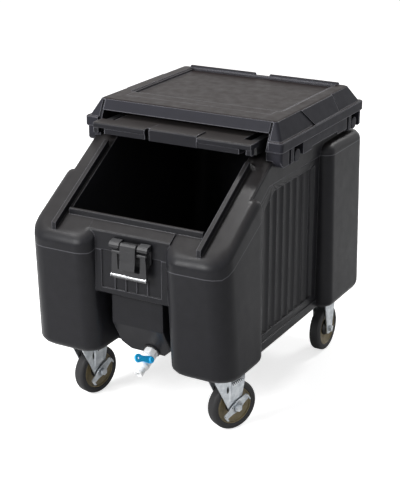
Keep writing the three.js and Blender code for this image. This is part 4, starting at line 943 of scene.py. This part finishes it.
def makeValveLever():
    size = leverSize
    reach, ring, bore = size["ring"]
    first, steps, seat = size["ringTurn"], size["ringSteps"], size["seat"]
    around = []
    for step in range(steps + 1):
        turn = math.radians(first + (360 - 2 * first) * step / steps)
        around.append((reach + ring * math.cos(turn), ring * math.sin(turn), 0))
    near = [(along, -half, corner) for along, half, corner in size["arm"]]
    outline = roundedOutline([*around, *near, *reversed(size["arm"])], 7)
    holes = [ovalOutline(reach, 0, bore, bore), ovalOutline(0, 0, seat, seat, 16)]
    mesh = bmesh.new()
    stamp(mesh, outline, holes, size["low"], size["low"] + size["thickness"], axis="y")
    quarterTurn = Matrix.Rotation(math.radians(90), 4, "Z")
    spin(mesh, roundedOutline(size["boss"], 4), size["bossSegments"], turn=quarterTurn)
    place = valvePlace() @ Matrix.Translation((0, 0, valveSize["ballCentre"]))
    place = place @ Matrix.Rotation(math.radians(valveSize["stemTurn"]), 4, "Z")
    place = place @ Matrix.Rotation(math.radians(valveSize["leverLean"]), 4, "Y")
    replaced = ("valve_lever",)
    makePiece("valve_lever_moulded", mesh, place, "lever_plastic", "valve_handle", replaced, size["edgeMm"])


makeDrainNut()
makeValveBody()
makeValveLever()
print("drain valve finished")


# Draw latch: a bracket with two ears, a curved lever and a bail whose hem carries the bright bar

latchSize = {
    "middle": 0.012,  # metres; the rest is in millimetres
    "pivot": (-371.0, 482.0),  # y and z of the lever's pin in the bracket
    "pin": (-371.0, 466.0),  # the bail's pin in the lever
    "pinHole": 3.15,
    "wall": -356.3,
    "base": (52.0, 441.5, 487.5, 4.0),  # half width, low, high, thickness
    "baseCorners": (6.0, 1.0),
    "ears": (25.0, 52.0),
    "ear": (  # y from the wall, z and corner
        (-2.0, 476.5, 0),
        (-2.0, 493.0, 0),
        (-19.0, 490.0, 4.0),
        (-22.7, 484.0, 3.0),
        (-22.7, 477.0, 2.0),
    ),
    "lever": (  # y, z and corner
        (-362.6, 490.4, 7),
        (-379.6, 491.0, 7),
        (-381.6, 470.0, 14),
        (-382.4, 448.0, 20),
        (-385.6, 427.4, 1.5),
        (-381.6, 426.6, 1.5),
        (-378.4, 448.0, 14),
        (-377.0, 460.5, 3),
        (-365.6, 460.4, 5),
        (-363.6, 474.0, 3),
    ),
    "leverHalf": 21.0,
    "knuckle": (21.2, 46.0, 5.5),  # start, end and radius
    "plate": (-375.75, -371.75),
    "side": (  # x, z and corner, up the outside of a side plate and down its inside
        (48.0, 411.0, 3.0),
        (46.5, 452.0, 3.0),
        (44.0, 468.0, 3.0),
        (31.5, 468.0, 2.0),
        (31.5, 461.0, 1.0),
        (30.0, 423.0, 4.0),
    ),
    "bar": (-373.75, 408.0),
    "hem": (4.3, 6.3, -118.0, 95.0),  # inner and outer radius, and how far it wraps
    "hemHalf": 47.0,
    "hemSteps": 20,
    "edgesMm": (0.8, 0.9, 0.7),  # bracket, lever and bail
}


def latchPlace():
    return Matrix.Translation((latchSize["middle"], 0, 0)) @ Matrix.Scale(0.001, 4)


def roundHole(centre, radius, count=20):
    return ovalOutline(*centre, radius, radius, count)


def makeLatchBase():
    size = latchSize
    half, low, high, thickness = size["base"]
    below, above = size["baseCorners"]
    wall, edge = size["wall"], size["edgesMm"][0]
    mesh = bmesh.new()
    face = [(-half, low, below), (half, low, below), (half, high, above), (-half, high, above)]
    stamp(mesh, roundedOutline(face), [], wall - thickness, wall, axis="y")
    ear = roundedOutline([(wall + y, z, corner) for y, z, corner in size["ear"]])
    near, far = size["ears"]
    for ends in ((-far, -near), (near, far)):
        stamp(mesh, ear, [roundHole(size["pivot"], size["pinHole"])], *ends)
    makePiece("latch_base_moulded", mesh, latchPlace(), "latch_plastic", "bin", ("latch_base",), edge)


def makeLatchLever():
    size = latchSize
    half, edge, node = size["leverHalf"], size["edgesMm"][1], "latch_lever"
    holes = [roundHole(size[pin], size["pinHole"]) for pin in ("pivot", "pin")]
    mesh = bmesh.new()
    stamp(mesh, roundedOutline(size["lever"], 6), holes, -half, half)
    makePiece("latch_lever_curved", mesh, latchPlace(), "latch_plastic", node, (node,), edge)


def makeLatchBail():
    size = latchSize
    start, end, radius = size["knuckle"]
    barY, barZ = size["bar"]
    inner, outer, low, high = size["hem"]
    half, steps, edge, node = size["hemHalf"], size["hemSteps"], size["edgesMm"][2], "latch_bail"
    mesh = bmesh.new()
    for ends in ((-end, -start), (start, end)):
        stamp(mesh, roundHole(size["pin"], radius, 28), [roundHole(size["pin"], size["pinHole"])], *ends)
    stamp(mesh, roundedOutline(bothSides(size["side"])), [], *size["plate"], axis="y")
    turns = [math.radians(low + (high - low) * step / steps) for step in range(steps + 1)]
    hem = [(barY + outer * math.cos(turn), barZ + outer * math.sin(turn)) for turn in turns]
    hem += [(barY + inner * math.cos(turn), barZ + inner * math.sin(turn)) for turn in reversed(turns)]
    stamp(mesh, hem, [], -half, half)
    makePiece("latch_bail_moulded", mesh, latchPlace(), "latch_plastic", node, (node,), edge)


makeLatchBase()
makeLatchLever()
makeLatchBail()
print("latch finished")


# Stage: pale floor, white background, soft lights and the camera

stageLook = {
    "floorColor": "#f4f4f4",
    "floorHalf": 9.0,
    "glowSeen": 0.7,  # added to the floor where the camera sees it
    "glowReflected": 0.04,
    "worldDiffuse": 0.3,
    "aim": (0.0, 0.0, 0.4),
    "lights": {  # place, power in watts and width
        "top": ((-1.4, -1.3, 2.9), 34.0, 0.8),
        "over": ((-0.65, 0.4, 3.0), 30.0, 0.5),  # mirrored by the right ramp only
        "rear": ((1.2, 3.2, 2.9), 38.0, 0.8),
        "front": ((-1.0, -2.6, 1.8), 58.0, 1.0),
        "side": ((2.7, -0.9, 1.7), 1.0, 1.0),
    },
}


def seenRays(tree):
    # The camera's own rays, and those together with what it sees mirrored or through glass.
    rays = addNode(tree, "ShaderNodeLightPath").outputs
    seen = mathOf(tree, "MAXIMUM", rays["Is Camera Ray"], rays["Is Glossy Ray"])
    return rays["Is Camera Ray"], mathOf(tree, "MAXIMUM", seen, rays["Is Transmission Ray"])


def buildWorld():
    world = bpy.data.worlds.new("white studio")
    bpy.context.scene.world = world
    world.use_nodes = True
    tree = world.node_tree
    tree.nodes.clear()
    seen = seenRays(tree)[1]
    strength = rangeOf(tree, seen, 0.0, 1.0, stageLook["worldDiffuse"], 1.0)
    light = addNode(tree, "ShaderNodeBackground", {"Color": (1, 1, 1, 1)}, {"Strength": strength})
    addNode(tree, "ShaderNodeOutputWorld", links={"Surface": light.outputs[0]})


def buildFloor():
    look = stageLook
    half = look["floorHalf"]
    corners = [(-half, -half, 0), (half, -half, 0), (half, half, 0), (-half, half, 0)]
    mesh = bpy.data.meshes.new("floor")
    mesh.from_pydata(corners, [], [(0, 1, 2, 3)])
    floor = bpy.data.objects.new("floor", mesh)
    bpy.context.scene.collection.objects.link(floor)
    material = bpy.data.materials.new("matt paper floor")
    material.use_nodes = True
    tree = material.node_tree
    tree.nodes.clear()
    direct, seen = seenRays(tree)
    paper = addNode(tree, "ShaderNodeBsdfDiffuse", {"Color": hexToLinear(look["floorColor"])}).outputs[0]
    bright = rangeOf(tree, direct, 0.0, 1.0, look["glowReflected"], look["glowSeen"])
    glow = addNode(tree, "ShaderNodeEmission", {"Color": (1, 1, 1, 1)}, {"Strength": bright})
    both = addNode(tree, "ShaderNodeAddShader")
    tree.links.new(paper, both.inputs[0])
    tree.links.new(glow.outputs[0], both.inputs[1])
    pick = addNode(tree, "ShaderNodeMixShader", links={"Fac": seen})
    tree.links.new(paper, pick.inputs[1])
    tree.links.new(both.outputs[0], pick.inputs[2])
    addNode(tree, "ShaderNodeOutputMaterial", links={"Surface": pick.outputs[0]})
    mesh.materials.append(material)


def buildLights():
    for name, (place, power, width) in stageLook["lights"].items():
        data = bpy.data.lights.new(name, "AREA")
        data.shape = "DISK"
        data.size = width
        data.energy = power
        lamp = bpy.data.objects.new(name, data)
        lamp.location = place
        aim = Vector(stageLook["aim"]) - Vector(place)
        lamp.rotation_euler = aim.to_track_quat("-Z", "Y").to_euler()
        bpy.context.scene.collection.objects.link(lamp)


# The camera was fitted to straight edges in the photo: metres, and millimetres for the lens

cameraFit = {
    "place": (1.5114, -2.7232, 1.5186),
    "right": (0.8733, 0.4871, 0.0),
    "up": (-0.1678, 0.3008, 0.9388),
    "back": (0.4573, -0.8199, 0.3445),
    "lens": 95.69,
}


def buildCamera():
    data = bpy.data.cameras.new("photo camera")
    data.sensor_fit = "VERTICAL"
    data.sensor_height = 36.0
    data.lens = cameraFit["lens"]
    data.clip_end = 100.0
    camera = bpy.data.objects.new("photo camera", data)
    axes = Matrix([cameraFit["right"], cameraFit["up"], cameraFit["back"]]).transposed()
    camera.matrix_world = Matrix.Translation(cameraFit["place"]) @ axes.to_4x4()
    bpy.context.scene.collection.objects.link(camera)
    bpy.context.scene.camera = camera


bpy.context.scene.view_settings.view_transform = "Standard"
buildWorld()
buildFloor()
buildLights()
buildCamera()
print("stage and camera ready")
